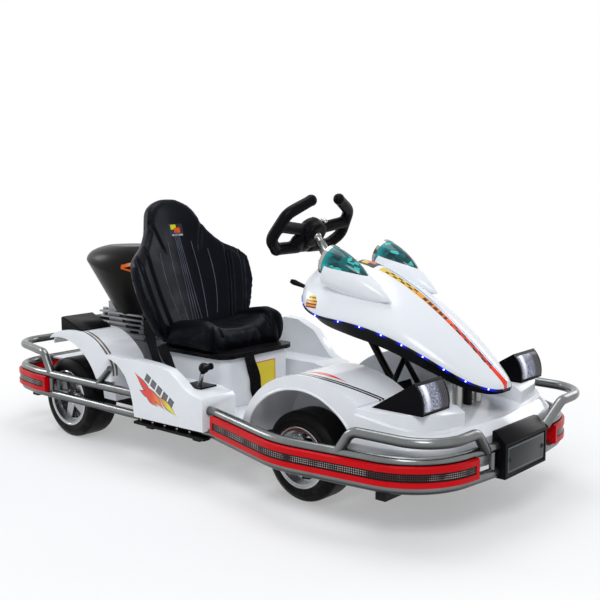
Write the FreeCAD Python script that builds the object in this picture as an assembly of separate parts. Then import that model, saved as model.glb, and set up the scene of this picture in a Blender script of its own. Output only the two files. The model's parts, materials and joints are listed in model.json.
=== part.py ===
"""Electric go-kart with a wrap-round tube bumper, in millimetres.

+X is forward, +Y is the driver's left and +Z is up. The origin is on the ground, midway
between the foremost and rearmost points of the kart, on its centre plane. Each function
below returns the solid of one or more nodes, and parts/NODE.step holds each node.
"""
import FreeCAD
import Part
import math
import os

V = FreeCAD.Vector
X_AXIS, Y_AXIS, Z_AXIS = V(1, 0, 0), V(0, 1, 0), V(0, 0, 1)

# Driving dimensions ---------------------------------------------------------------
LENGTH = 1924.0             # over the front plate box and the rear hoop
WHEELBASE = 1035.0
FRONT_OVERHANG = 531.0       # from the front axle to the plate box
SIDE_Y = 322.0              # side tube centre, from the centre plane
FLARE_Y = 422.0             # widest point of the tube, abreast of the front wheels

TUBE_R = 13.5
TUBE_LOW_Z = 146.0
TUBE_HIGH_Z = 213.0
OVERRIDER_Z = 272.0         # tops of the front corner tubes
HOOP_Z = 284.0              # rear hoop
FIT_GAP = 0.3               # between pieces of different bodies that look in contact
MOVING_GAP = 6.0            # least gap round pieces that steer or spin

FRONT_TYRE_R, FRONT_TYRE_W = 127.0, 105.0
REAR_TYRE_R, REAR_TYRE_W = 136.0, 116.0
FRONT_RIM_R, REAR_RIM_R = 87.0, 95.0
FRONT_WHEEL_Y, REAR_WHEEL_Y = 236.0, 244.0
KINGPIN_Y = 165.0
STEER_DEG = 22.0
COLUMN_TURN_DEG = 60.0
AXLE_R = 12.5               # live rear axle
STUB_R = 8.5                # front stub axles
KINGPIN_R = 6.0
SHAFT_R = 11.0              # steering shaft
RUNNING_GAP = 0.05          # radial, in bearings

FLOOR_Z, FLOOR_T = 165.0, 8.0
SHELL = 4.0                 # moulded body panels
TUNNEL_Y = 117.0            # half width of the foot well between the front wheels

# Derived --------------------------------------------------------------------------
NOSE_X = LENGTH / 2
FRONT_AXLE_X = NOSE_X - FRONT_OVERHANG
REAR_AXLE_X = FRONT_AXLE_X - WHEELBASE
POD_REAR_X = REAR_AXLE_X + 272.0
POD_FRONT_X = POD_REAR_X + 450.0
TUBE_FRONT_X = NOSE_X - 18.0
TUBE_REAR_X = -NOSE_X + 41.0
HOOP_REAR_X = -NOSE_X + TUBE_R
STEER_RATIO = STEER_DEG / COLUMN_TURN_DEG


# Shape helpers --------------------------------------------------------------------
def box(x0, x1, y0, y1, z0, z1):
    return Part.makeBox(x1 - x0, y1 - y0, z1 - z0, V(x0, y0, z0))


def cylinder(centre, axis, radius, length):
    """A cylinder centred on a point."""
    axis = V(axis).normalize()
    return Part.makeCylinder(radius, length, centre - axis * (length / 2), axis)


def rod(start, end, radius):
    return Part.makeCylinder(radius, (end - start).Length, start, end - start)


def mirrored(shape):
    return shape.mirror(V(0, 0, 0), Y_AXIS)


def both(shape):
    """A shape and its mirror image, as solids that do not touch."""
    return Part.makeCompound([shape, mirrored(shape)])


def fuse(*shapes):
    result = shapes[0].fuse(list(shapes[1:])) if len(shapes) > 1 else shapes[0]
    return result.removeSplitter()


def prism_xz(points, y0, y1):
    """A side profile of (x, z) points, carried from y0 to y1."""
    face = Part.Face(Part.makePolygon([V(x, y0, z) for x, z in points + points[:1]]))
    return face.extrude(V(0, y1 - y0, 0))


def prism_yz(points, x0, x1):
    face = Part.Face(Part.makePolygon([V(x0, y, z) for y, z in points + points[:1]]))
    return face.extrude(V(x1 - x0, 0, 0))


def prism_xy(points, z0, z1):
    face = Part.Face(Part.makePolygon([V(x, y, z0) for x, y in points + points[:1]]))
    return face.extrude(V(0, 0, z1 - z0))


def curve_xz(points, y):
    curve = Part.BSplineCurve()
    curve.interpolate([V(x, y, z) for x, z in points])
    return curve.toShape()


def line(a, b):
    return Part.makeLine(a, b)


def skin_prism(top, base_z, y0, y1):
    """The solid below a smooth (x, z) crest line, down to base_z, from y0 to y1."""
    crest = curve_xz(top, y0)
    first, last = V(top[0][0], y0, top[0][1]), V(top[-1][0], y0, top[-1][1])
    low_first, low_last = V(first.x, y0, base_z), V(last.x, y0, base_z)
    wire = Part.Wire([crest, line(last, low_last), line(low_last, low_first),
                      line(low_first, first)])
    return Part.Face(wire).extrude(V(0, y1 - y0, 0))


def rounded_wire(points, radii):
    """Straight runs through the points, with an arc of the given radius at each corner."""
    edges = []
    here = points[0]
    for corner, after, radius in zip(points[1:-1], points[2:], radii):
        back, ahead = (here - corner).normalize(), (after - corner).normalize()
        half = back.getAngle(ahead) / 2
        reach = radius / math.tan(half)
        start, end = corner + back * reach, corner + ahead * reach
        centre = corner + (back + ahead).normalize() * (radius / math.sin(half))
        middle = centre + (corner - centre).normalize() * radius
        edges.append(line(here, start))
        edges.append(Part.Arc(start, middle, end).toShape())
        here = end
    edges.append(line(here, points[-1]))
    return Part.Wire(edges)


def rounded_tube(points, radii, radius=TUBE_R):
    """A round bar bent along rounded_wire."""
    path = rounded_wire(points, radii)
    start, direction = points[0], points[1] - points[0]
    ring = Part.Wire(Part.makeCircle(radius, start, direction))
    return path.makePipeShell([ring], True, False)


def swept_strip(points, radii, section):
    """A flat-ended strip along a level path. The section lists (outward, z) corners."""
    path = rounded_wire(points, radii)
    start, run = points[0], (points[1] - points[0]).normalize()
    outward = run.cross(Z_AXIS)
    corners = [start + outward * o + V(0, 0, z - start.z) for o, z in section]
    profile = Part.makePolygon(corners + corners[:1])
    return path.makePipeShell([profile], True, False)


def ahead_of(datum, points):
    """Profile or plan points whose x is counted from a datum."""
    return [(datum + p[0],) + tuple(p[1:]) for p in points]


def level(points, z):
    return [V(x, y, z) for x, y in points]


def inset(points, distance):
    """An open plan line moved to its left by a distance, corners kept on their mitres."""
    moved = []
    for i, (x, y) in enumerate(points):
        before = points[max(i - 1, 0)]
        after = points[min(i + 1, len(points) - 1)]
        a = V(x - before[0], y - before[1], 0)
        b = V(after[0] - x, after[1] - y, 0)
        a = a.normalize() if a.Length > 0 else V(b).normalize()
        b = b.normalize() if b.Length > 0 else V(a)
        left_a, left_b = V(-a.y, a.x, 0), V(-b.y, b.x, 0)
        mitre = (left_a + left_b).normalize()
        step = distance / mitre.dot(left_a)
        moved.append((x + mitre.x * step, y + mitre.y * step))
    return moved


# Plan lines of the tube bumper, right half, from the side to the middle ---------------
FRONT_TUBE = [(POD_FRONT_X + 18, -SIDE_Y), (FRONT_AXLE_X + 42, -FLARE_Y),
              (NOSE_X - 60, -FLARE_Y + 51), (TUBE_FRONT_X, 0.0)]
FRONT_BENDS = [120.0, 300.0, 180.0]
REAR_CORNER_Y = SIDE_Y - 34.0
REAR_TUBE = [(TUBE_REAR_X, -REAR_CORNER_Y), (REAR_AXLE_X - 135, -SIDE_Y),
             (POD_REAR_X + 145, -SIDE_Y)]
REAR_BENDS = [110.0, 250.0]


def front_line(start_x):
    return [(start_x, -SIDE_Y)] + FRONT_TUBE


def whole_front(z):
    half = front_line(POD_FRONT_X - 20.0)
    other = [(x, -y) for x, y in reversed(half[:-1])]
    bends = FRONT_BENDS + [250.0] + FRONT_BENDS[::-1]
    return rounded_tube(level(half + other, z), bends)


def front_tube_y(x):
    """How far out the front tube's centre is, ahead of its widest point."""
    (x0, y0), (x1, y1) = FRONT_TUBE[1:3]
    return y0 + (y1 - y0) * (x - x0) / (x1 - x0)


def front_tube_x(y):
    """How far forward the front tube's centre is, along its nose."""
    (x0, y0), (x1, y1) = FRONT_TUBE[2:4]
    return x0 + (x1 - x0) * (y - y0) / (y1 - y0)


def front_bumper():
    """Two front loops, the overriders above their corners and the posts between them."""
    start, rise, corner = NOSE_X - 304, NOSE_X - 264, NOSE_X - 20
    overrider = rounded_tube(
        [V(start, front_tube_y(start), TUBE_HIGH_Z), V(rise, front_tube_y(rise) - 2, OVERRIDER_Z),
         V(corner, front_tube_y(corner) - 22, OVERRIDER_Z), V(corner + 4, -221, OVERRIDER_Z),
         V(front_tube_x(-154) + 6, -154, TUBE_HIGH_Z)],
        [40.0, 110.0, 35.0])
    side_x = FRONT_AXLE_X + 135
    posts = [rod(V(x, y, TUBE_LOW_Z), V(x, y, TUBE_HIGH_Z), TUBE_R * 0.6)
             for x, y in ((side_x, front_tube_y(side_x) + 4), (front_tube_x(-120), -120.0))]
    parts = [overrider, mirrored(overrider)] + posts + [mirrored(p) for p in posts]
    return fuse(whole_front(TUBE_LOW_Z), whole_front(TUBE_HIGH_Z), *parts)


def rear_bumper():
    """Two rear loops, the raised hoop and the flat braces up to the side pods."""
    def loop(z):
        half = REAR_TUBE[::-1]
        return rounded_tube(level(half + [(x, -y) for x, y in half[::-1]], z),
                            REAR_BENDS[::-1] + REAR_BENDS)

    side = [V(REAR_AXLE_X - 58, -SIDE_Y, TUBE_HIGH_Z), V(REAR_AXLE_X - 104, -SIDE_Y + 4, HOOP_Z),
            V(HOOP_REAR_X, -SIDE_Y + 60, HOOP_Z)]
    hoop = rounded_tube(side + [V(p.x, -p.y, p.z) for p in side[::-1]],
                        [30.0, 100.0, 100.0, 30.0])
    posts = [rod(V(x, y, TUBE_LOW_Z), V(x, y, TUBE_HIGH_Z), TUBE_R * 0.6)
             for x, y in ((REAR_AXLE_X - 60, -SIDE_Y), (TUBE_REAR_X, -40.0))]
    brace = rod(V(POD_REAR_X - 77, -SIDE_Y, TUBE_HIGH_Z), V(POD_REAR_X + 2, -SIDE_Y - 8, 279),
                TUBE_R * 0.75)
    parts = [hoop] + posts + [mirrored(p) for p in posts] + [brace, mirrored(brace)]
    return fuse(loop(TUBE_LOW_Z), loop(TUBE_HIGH_Z), *parts)


def side_rail():
    """The straight tube pair inside a side pod, with the black sill strip below it."""
    x0, x1 = POD_REAR_X + 145.0, POD_FRONT_X - 20.0
    tubes = [cylinder(V((x0 + x1) / 2, -SIDE_Y, z), X_AXIS, TUBE_R, x1 - x0)
             for z in (TUBE_LOW_Z, TUBE_HIGH_Z)]
    posts = [rod(V(x, -SIDE_Y, TUBE_LOW_Z), V(x, -SIDE_Y, TUBE_HIGH_Z), TUBE_R * 0.6)
             for x in (x0 + 40.0, x1 - 40.0)]
    sill = box(x0 - 10, x1 + 20, -SIDE_Y - 26, -SIDE_Y - 2, TUBE_LOW_Z - TUBE_R - 6,
               TUBE_LOW_Z - TUBE_R + 2)
    return fuse(*tubes, *posts, sill)


# Light bars ---------------------------------------------------------------------------
BAR_SECTION = [(10.0, 157.0), (14.5, 152.0), (22.0, 154.0), (22.0, 168.0), (17.0, 168.0),
               (17.0, 190.0), (22.0, 190.0), (22.0, 204.0), (14.5, 207.0), (10.0, 202.0),
               (-6.0, 202.0), (-6.0, 157.0)]
STRIP_SECTION = [(17.0, 168.0), (19.5, 168.0), (19.5, 190.0), (17.0, 190.0)]
BAR_END_SECTION = [(-6.0, 157.0), (22.0, 154.0), (22.0, 204.0), (-6.0, 202.0)]
BAR_END_T = 12.0
FRONT_BAR_END_Y, REAR_BAR_START_X, REAR_BAR_END_Y = 198.0, REAR_AXLE_X - 70, 60.0
MID_TUBE_Z = (TUBE_LOW_Z + TUBE_HIGH_Z) / 2


def front_bar_line():
    """From just ahead of the side pod, round the corner, to beside the plate box."""
    pod, flare, corner, nose = FRONT_TUBE
    start_x = POD_FRONT_X + 32.0
    share = (start_x - pod[0]) / (flare[0] - pod[0])
    start = (start_x, pod[1] + (flare[1] - pod[1]) * share)
    share = (-FRONT_BAR_END_Y - corner[1]) / (nose[1] - corner[1])
    end = (corner[0] + (nose[0] - corner[0]) * share, -FRONT_BAR_END_Y)
    return level([start, flare, corner, end], MID_TUBE_Z), FRONT_BENDS[1:]


def rear_bar_line():
    points = [(TUBE_REAR_X, -REAR_BAR_END_Y)] + REAR_TUBE[:2] + [(REAR_BAR_START_X, -SIDE_Y)]
    return level(points, MID_TUBE_Z), REAR_BENDS


def both_strips(route, section):
    points, bends = route()
    return both(swept_strip(points, bends, section))


def bar_ends(route):
    """The plates that close the red frame at both ends of a light bar."""
    points, _ = route()
    forward = (points[1] - points[0]).normalize() * BAR_END_T
    backward = (points[-2] - points[-1]).normalize() * BAR_END_T
    first = swept_strip([points[0], points[0] + forward], [], BAR_END_SECTION)
    last = swept_strip([points[-1] + backward, points[-1]], [], BAR_END_SECTION)
    return both(Part.makeCompound([first, last]))


def light_bars(bumpers):
    """The four red frames at the corners, held between the upper and lower tubes."""
    bars = []
    for route in (front_bar_line, rear_bar_line):
        ends = bar_ends(route).Solids
        for bar in both_strips(route, BAR_SECTION).Solids:
            bars.append(fuse(bar, *[end for end in ends if end.common(bar).Volume > 1.0]))
    return Part.makeCompound(bars).cut(bumpers)


def light_strips(bars):
    """The smoked lens in each frame."""
    strips = [both_strips(route, STRIP_SECTION) for route in (front_bar_line, rear_bar_line)]
    return Part.makeCompound(strips).cut(bars)


# Plate box -----------------------------------------------------------------------------
PLATE_HALF_W = 108.0
PLATE_HOLE_R, PLATE_HOLE_SPACING, PLATE_HOLE_Z = 3.0, 170.0, 178.0


def plate_box(bumper):
    """The box clamped round both front tubes, with two blind screw holes for a plate."""
    back = NOSE_X - 40.0
    side = [(back, 131.0), (NOSE_X, 131.0), (NOSE_X, 224.0), (NOSE_X - 8, 236.0),
            (NOSE_X - 38, 252.0), (back, 252.0)]
    solid = prism_xz(side, -PLATE_HALF_W, PLATE_HALF_W).cut(bumper)
    for side_sign in (-1, 1):
        hole_y = side_sign * PLATE_HOLE_SPACING / 2
        solid = solid.cut(cylinder(V(NOSE_X, hole_y, PLATE_HOLE_Z), X_AXIS, PLATE_HOLE_R, 8))
    return solid


# Front deck ----------------------------------------------------------------------------
DECK_REAR_X = FRONT_AXLE_X + 235.0
SKIRT_LOW_Z, SKIRT_HIGH_Z, DECK_Z = 160.0, 235.0, 262.0
SKIRT_INSET, LIP_INSET, SHOULDER_INSET = 22.0, 50.0, 62.0
SHOULDER_Y, SHOULDER_FRONT_X, LAMP_X = 145.0, NOSE_X - 71, NOSE_X - 120
RISE_FRONT_X, POST_X = NOSE_X - 81, NOSE_X - 180
SHOULDER_Z, SHOULDER_FRONT_Z = 312.0, 283.0


def deck_outline(distance, z, rear_x):
    """The closed plan outline of the deck, a distance inside the tube line."""
    corner, nose = inset(FRONT_TUBE, distance)[2:4]
    flare = inset(FRONT_TUBE, distance)[1]
    share = (rear_x - flare[0]) / (corner[0] - flare[0])
    rear = (rear_x, flare[1] + (corner[1] - flare[1]) * share)
    points = level([rear, corner, nose, (corner[0], -corner[1]), (rear_x, -rear[1])], z)
    bends = [FRONT_BENDS[2] - distance, FRONT_BENDS[2], FRONT_BENDS[2] - distance]
    wire = rounded_wire(points, bends)
    return Part.Wire(wire.Edges + [line(points[-1], points[0])])


def deck_volume(t):
    """The deck as a solid, with every visible face moved inward by t."""
    rear = DECK_REAR_X + t
    low = Part.Face(deck_outline(SKIRT_INSET + t, SKIRT_LOW_Z - t, rear))
    skirt = low.extrude(V(0, 0, SKIRT_HIGH_Z - SKIRT_LOW_Z + t))
    lip = Part.makeLoft([deck_outline(SKIRT_INSET + t, SKIRT_HIGH_Z, rear),
                         deck_outline(LIP_INSET + t, DECK_Z - t, rear)], True, True)
    crown = Part.Face(deck_outline(LIP_INSET + t, DECK_Z - t, rear)).extrude(V(0, 0, 60))
    rise = [(rear - 1, 200.0), (rear - 1, 300.0 - t), (POST_X, 280.0 - t),
            (RISE_FRONT_X, DECK_Z - t), (RISE_FRONT_X, 200.0)]
    crown = crown.common(prism_xz(rise, -500.0, 500.0))
    front = SHOULDER_FRONT_X - t
    shoulder = Part.Face(deck_outline(SHOULDER_INSET + t, 240.0, rear)).extrude(V(0, 0, 100))
    slope = [(rear - 1, 240.0), (rear - 1, SHOULDER_Z - t), (LAMP_X, SHOULDER_Z - t),
             (front, SHOULDER_FRONT_Z - t), (front, 240.0)]
    shoulder = shoulder.common(prism_xz(slope, -500.0, -SHOULDER_Y - t))
    return fuse(skirt, lip, crown, shoulder, mirrored(shoulder))


def front_deck():
    """The moulded front panel: skirt, sloped lip, low middle and two lamp shoulders."""
    return deck_volume(0.0).cut(deck_volume(SHELL))


# Front fenders -------------------------------------------------------------------------
FENDER_OUT_Y = 330.0
FENDER_CREST = ahead_of(FRONT_AXLE_X, [
    (-177.0, 168.0), (-167.0, 225.0), (-143.0, 268.0), (-105.0, 310.0), (-50.0, 345.0),
    (25.0, 367.0), (105.0, 366.0), (175.0, 347.0), (235.0, 316.0)])
ARCH_CREST = ahead_of(FRONT_AXLE_X, [
    (-155.0, 168.0), (-143.0, 225.0), (-110.0, 272.0), (-55.0, 309.0), (15.0, 328.0),
    (85.0, 324.0), (145.0, 300.0), (195.0, 262.0), (225.0, 215.0)])


def drawn_in(points, centre, distance):
    """Profile points moved toward a centre by a distance."""
    moved = []
    for x, z in points:
        away = V(x - centre[0], 0, z - centre[1])
        step = away.normalize() * distance
        moved.append((x - step.x, z - step.z))
    return moved


def front_fender():
    """A shell over the right front wheel, open below and on its outer face."""
    heart = (FRONT_AXLE_X + 15, 150.0)
    outer = skin_prism(FENDER_CREST, SKIRT_LOW_Z, -FENDER_OUT_Y, -TUNNEL_Y)
    inner = skin_prism(drawn_in(FENDER_CREST, heart, SHELL), SKIRT_LOW_Z - 1,
                       -FENDER_OUT_Y + SHELL, -TUNNEL_Y - SHELL)
    arch = skin_prism(ARCH_CREST, SKIRT_LOW_Z - 1, -FENDER_OUT_Y - 1,
                      -FENDER_OUT_Y + SHELL + 1)
    return outer.cut(inner).cut(arch)


# Headlights ----------------------------------------------------------------------------
LAMP_IN_Y, LAMP_OUT_Y = 183.0, 303.0
LAMP_REAR_X, LAMP_TOP = LAMP_X - 153, (LAMP_X - 26, 391.0)
LAMP_WALL, LENS_T = 5.0, 3.0


def lamp_front(inset_x, y):
    """The curved front edge of a lamp from its foot to its brow."""
    foot = V(LAMP_X - inset_x, y, SHOULDER_Z)
    brow = V(LAMP_TOP[0] - inset_x, y, LAMP_TOP[1])
    middle = V(LAMP_X - 2.0 - inset_x, y, (SHOULDER_Z + LAMP_TOP[1]) / 2)
    return foot, brow, Part.Arc(foot, middle, brow).toShape()


def lamp_wedge(t, rear_x):
    """The wedge of one lamp with its side, top and rear faces moved inward by t."""
    y0, y1 = -LAMP_OUT_Y + t, -LAMP_IN_Y - t
    foot, brow, curve = lamp_front(0.0, y0)
    tail = V(rear_x, y0, SHOULDER_Z)
    share = (rear_x - LAMP_REAR_X) / (LAMP_TOP[0] - LAMP_REAR_X)
    top_rear = V(rear_x, y0, SHOULDER_Z + (LAMP_TOP[1] - SHOULDER_Z) * share - t)
    low_brow = V(brow.x, brow.y, brow.z - t)
    edges = [curve, line(brow, low_brow)] if t else [curve]
    edges += [line(low_brow if t else brow, top_rear)]
    edges += [line(top_rear, tail)] if t or share else []
    edges += [line(tail, foot)]
    return Part.Face(Part.Wire(edges)).extrude(V(0, y1 - y0, 0))


def headlight_housing():
    """A wedge with a pointed tail, open at the front, with a bowl for its lamp."""
    outer = lamp_wedge(0.0, LAMP_REAR_X)
    tail = prism_xy([(LAMP_REAR_X - 1, -LAMP_OUT_Y + 30), (LAMP_REAR_X - 1, -LAMP_IN_Y + 1),
                     (LAMP_TOP[0] - 40, -LAMP_IN_Y + 1)], SHOULDER_Z - 1, 400.0)
    y0, y1 = -LAMP_OUT_Y + LAMP_WALL, -LAMP_IN_Y - LAMP_WALL
    low, high = SHOULDER_Z + LAMP_WALL - 1, LAMP_TOP[1] - LAMP_WALL - 2
    back, mouth = LAMP_X - 69, LAMP_X + 10
    hollow = prism_xz([(back, low), (back, low + 36), (LAMP_TOP[0] - 4, high), (mouth, high),
                       (mouth, low)], y0, y1)
    filler = prism_xz([(back, low), (back, low + 36), (LAMP_TOP[0] - 12, high - 7),
                       (LAMP_X - 34, low)], y0, y1)
    bowl = Part.makeSphere(62.0, V(LAMP_X - 4, (y0 + y1) / 2, SHOULDER_Z + 33))
    return outer.cut(tail).cut(hollow).fuse(filler.cut(bowl))


def headlight_lens():
    """The clear curved front that closes the housing's mouth."""
    y0, y1 = -LAMP_OUT_Y + LAMP_WALL, -LAMP_IN_Y - LAMP_WALL
    foot, brow, curve = lamp_front(0.0, y0)
    foot_in, brow_in, curve_in = lamp_front(LENS_T, y0)
    wire = Part.Wire([curve, line(brow, brow_in), curve_in, line(foot_in, foot)])
    sheet = Part.Face(wire).extrude(V(0, y1 - y0, 0))
    return sheet.common(box(LAMP_REAR_X, LAMP_X + 10, y0, y1, SHOULDER_Z + LAMP_WALL - 1,
                            LAMP_TOP[1] - LAMP_WALL - 2))


# Nose cone -----------------------------------------------------------------------------
# Each station: x, half width at the lower edge, z of the lower edge, z of the crest,
# and the depth of the tray below it.
NOSE = ahead_of(FRONT_AXLE_X, [
    (-137.0, 112.0, 545.0, 628.0, 6.0),
    (-100.0, 146.0, 520.0, 641.0, 14.0),
    (-55.0, 162.0, 505.0, 647.0, 24.0),
    (15.0, 170.0, 497.0, 645.0, 34.0),
    (90.0, 169.0, 490.0, 621.0, 42.0),
    (165.0, 162.0, 475.0, 586.0, 44.0),
    (235.0, 149.0, 451.0, 544.0, 44.0),
    (300.0, 132.0, 421.0, 498.0, 40.0),
    (360.0, 110.0, 387.0, 451.0, 32.0),
    (410.0, 84.0, 360.0, 409.0, 22.0),
    (448.0, 54.0, 344.0, 377.0, 12.0),
    (471.0, 20.0, 340.0, 358.0, 4.0),
])
LED_T, LED_PROUD = 5.0, 2.0


def nose_section(x, half, low, high):
    """A domed cross-section with a flat foot."""
    rise = high - low
    shape = [(1.0, 0.0), (0.97, 0.17), (0.85, 0.43), (0.6, 0.7), (0.28, 0.91), (0.0, 1.0)]
    right = [V(x, -half * w, low + rise * h) for w, h in shape]
    left = [V(x, half * w, low + rise * h) for w, h in shape[-2::-1]]
    dome = Part.BSplineCurve()
    dome.interpolate(right + left)
    return Part.Wire([dome.toShape(), line(left[-1], right[0])])


def slab_section(x, half, low, high, low_half):
    corners = [V(x, -half, high), V(x, -low_half, low), V(x, low_half, low), V(x, half, high)]
    return Part.makePolygon(corners + corners[:1])


def nose_cone(shaft_hole):
    cone = Part.makeLoft([nose_section(x, w, low, high) for x, w, low, high, _ in NOSE], True)
    fairing = teardrop(LAMP_TIP + V(66, 6, -52), LAMP_BASE + V(0, 3, -24), POD_LAMP_R + 5)
    return cone.fuse(fairing).fuse(mirrored(fairing)).cut(shaft_hole)


def nose_led_strip(cone, shaft_hole):
    """The light strip sandwiched between the cone and its tray, just proud of both."""
    sections = [slab_section(x, w + LED_PROUD, low - LED_T, low + 1, w + LED_PROUD)
                for x, w, low, _, _ in NOSE]
    return Part.makeLoft(sections, True).cut(cone).cut(shaft_hole)


def nose_tray(strip, shaft_hole):
    sections = [slab_section(x, w - 3, low - LED_T - deep, low - 2, w * 0.78)
                for x, w, low, _, deep in NOSE]
    return Part.makeLoft(sections, True).cut(strip).cut(shaft_hole)


LAMP_TIP = V(FRONT_AXLE_X + 115, -118.0, 604.0)
LAMP_BASE = V(FRONT_AXLE_X - 17, -126.0, 651.0)
POD_LAMP_R = 44.0


def teardrop(tip, base, radius):
    """A drop from a sharp tip to a flat round base."""
    axis = base - tip
    length = axis.Length
    profile = [(0.0, 0.0), (0.2, 0.42), (0.5, 0.77), (0.8, 0.96), (1.0, 1.0)]
    curve = Part.BSplineCurve()
    curve.interpolate([V(radius * r, 0, length * s) for s, r in profile])
    top = V(radius, 0, length)
    wire = Part.Wire([curve.toShape(), line(top, V(0, 0, length)),
                      line(V(0, 0, length), V(0, 0, 0))])
    drop = Part.Face(wire).revolve(V(0, 0, 0), Z_AXIS, 360)
    drop.Placement = FreeCAD.Placement(tip, FreeCAD.Rotation(Z_AXIS, axis))
    return drop


def nose_lamp(cone):
    """A teardrop lens let into the top of the nose cone."""
    return teardrop(LAMP_TIP, LAMP_BASE, POD_LAMP_R).cut(cone)


def nose_bezel(cone):
    """The chrome cap behind each teardrop lens."""
    axis = (LAMP_BASE - LAMP_TIP).normalize()
    cap = Part.makeCylinder(POD_LAMP_R + 1.5, 11.0, LAMP_BASE, axis)
    dish = Part.makeCylinder(POD_LAMP_R - 7.0, 6.0, LAMP_BASE + axis * 6.0, axis)
    return cap.cut(dish).cut(cone)


def nose_posts(tray, deck, fender):
    """Two posts and a damper in front, and a pair of crossed struts behind."""
    posts = [rod(V(POST_X, y, 279.0), V(POST_X, y, 372.0), 13.0) for y in (-50.0, 0.0, 50.0)]
    x = FRONT_AXLE_X + 145
    struts = [rod(V(x, -s * 60, 452.0), V(x, s * (TUNNEL_Y - 4), 240.0), 8.0)
              for s in (-1, 1)]
    cross = fuse(*struts)
    solids = [p.cut(tray).cut(deck) for p in posts] + [cross.cut(tray).cut(fender)]
    return solids


# Steering ------------------------------------------------------------------------------
COLUMN_DEG = 55.0           # column above the horizontal
WHEEL_DEG = 58.0            # steering wheel plane above the horizontal
COLUMN_AT = V(FRONT_AXLE_X - 133, 0.0, 646.0)
COLUMN_DIR = V(-math.cos(math.radians(COLUMN_DEG)), 0, math.sin(math.radians(COLUMN_DEG)))
COLUMN_TOP = 76.0           # from COLUMN_AT up to the wheel boss
JOINT_R = 14.0              # ball of the universal joint under the wheel
WHEEL_RISE = 30.0           # from that ball up to the plane of the grips
RACK_X, RACK_Z, RACK_R, RACK_HALF = FRONT_AXLE_X + 200, 140.0, 8.0, 102.0
RACK_BOX_R = 15.0
ARM_X, ARM_Y = 75.0, 10.0   # knuckle arm end, forward and inward of the kingpin


def column_point(distance):
    return COLUMN_AT + COLUMN_DIR * distance


def column_foot():
    """Distance down the column, from COLUMN_AT to just above the rack housing."""
    return -(COLUMN_AT.z - RACK_Z - RACK_BOX_R - SHAFT_R - MOVING_GAP) / COLUMN_DIR.z


def shaft_clearance():
    """The hole that the steering shaft passes through in the panels."""
    return rod(column_point(column_foot() - 20), column_point(COLUMN_TOP),
               SHAFT_R + MOVING_GAP)


def steering_shaft():
    """The column, ending in the ball of the universal joint."""
    top = column_point(COLUMN_TOP)
    return rod(column_point(column_foot()), top, SHAFT_R).fuse(Part.makeSphere(JOINT_R, top))


def steering_wheel():
    """An open-topped wheel: two bent grips, their spokes, a thick low rim and a boss."""
    grip_r, low_r, spoke_r = 15.0, 13.0, 12.0
    top_at, brow_at, side_at, low_at = (64, 110), (142, 64), (162, -24), (116, -62)
    parts = [rod(V(-low_at[0], low_at[1], 0.7), V(low_at[0], low_at[1], 0.7), low_r)]
    for sign in (-1, 1):
        top, brow, side, low = [V(sign * u, v, 0) for u, v in (top_at, brow_at, side_at, low_at)]
        parts.append(rounded_tube([top, brow, side, low], [42.0, 34.0], grip_r))
        parts.append(Part.makeSphere(grip_r + 1.5, top))
        parts.append(Part.makeSphere(grip_r + 1.5, low))
        parts.append(rod(V(sign * 12, 4, 0.5), V(sign * 150, 27, 0.5), spoke_r))
    boss = Part.makeCylinder(38.0, WHEEL_RISE + 12.0, V(0, 0, -WHEEL_RISE))
    stem = Part.makeBox(64.0, 66.0, 22.0, V(-32.0, -64.0, -11.0))
    wheel = fuse(boss, stem, *parts)
    tilt = math.radians(WHEEL_DEG)
    up = V(math.cos(tilt), 0, math.sin(tilt))
    normal = V(-math.sin(tilt), 0, math.cos(tilt))
    across = up.cross(normal)
    turn = FreeCAD.Rotation(across, up, normal, "XYZ")
    wheel.Placement = FreeCAD.Placement(column_point(COLUMN_TOP) + normal * WHEEL_RISE, turn)
    return wheel.cut(Part.makeSphere(JOINT_R + 0.4, column_point(COLUMN_TOP)))


def steering_rack():
    """The sliding rack bar. Each end has a track rod whose slot holds a knuckle's pin."""
    bar = cylinder(V(RACK_X, 0, RACK_Z), Y_AXIS, RACK_R, 2 * RACK_HALF)
    ball = V(FRONT_AXLE_X + ARM_X, -KINGPIN_Y + ARM_Y, RACK_Z)
    link = rod(V(RACK_X, -RACK_HALF + 6, RACK_Z), ball, 6.0)
    low, high = RACK_Z - 6.0, RACK_Z + 6.0
    plate = box(ball.x - 26, ball.x + 20, ball.y - 13, ball.y + 13, low, high)
    slot = box(ball.x - 18, ball.x + 10, ball.y - 7, ball.y + 7, low - 1, high + 1)
    link = link.cut(plate).fuse(plate).cut(slot)
    return fuse(bar, link, mirrored(link))


def knuckle():
    """The right knuckle: kingpin, boss, stub axle and forward arm with its ball pin."""
    centre = V(FRONT_AXLE_X, -KINGPIN_Y, FRONT_TYRE_R)
    pin = cylinder(centre, Z_AXIS, KINGPIN_R, 76.0)
    boss = cylinder(centre, Z_AXIS, 14.0, 52.0)
    stub_end = V(FRONT_AXLE_X, -FRONT_WHEEL_Y - FRONT_TYRE_W / 2 + 3, FRONT_TYRE_R)
    stub = rod(centre, stub_end, STUB_R)
    collar = rod(centre, V(FRONT_AXLE_X, -FRONT_WHEEL_Y + HUB_END + 1, FRONT_TYRE_R), 14.0)
    nut = rod(V(FRONT_AXLE_X, -FRONT_WHEEL_Y - FRONT_TYRE_W / 2 + 13, FRONT_TYRE_R), stub_end, 14.0)
    arm_end = V(FRONT_AXLE_X + ARM_X, -KINGPIN_Y + ARM_Y, RACK_Z)
    root = V(FRONT_AXLE_X, -KINGPIN_Y, RACK_Z - 16.0)
    tip = V(arm_end.x, arm_end.y, RACK_Z - 16.0)
    arm = rod(root, tip, 6.5)
    ball = Part.makeCylinder(5.0, 17.5, tip)
    return fuse(pin, boss, stub, collar, nut, arm, ball)


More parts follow.
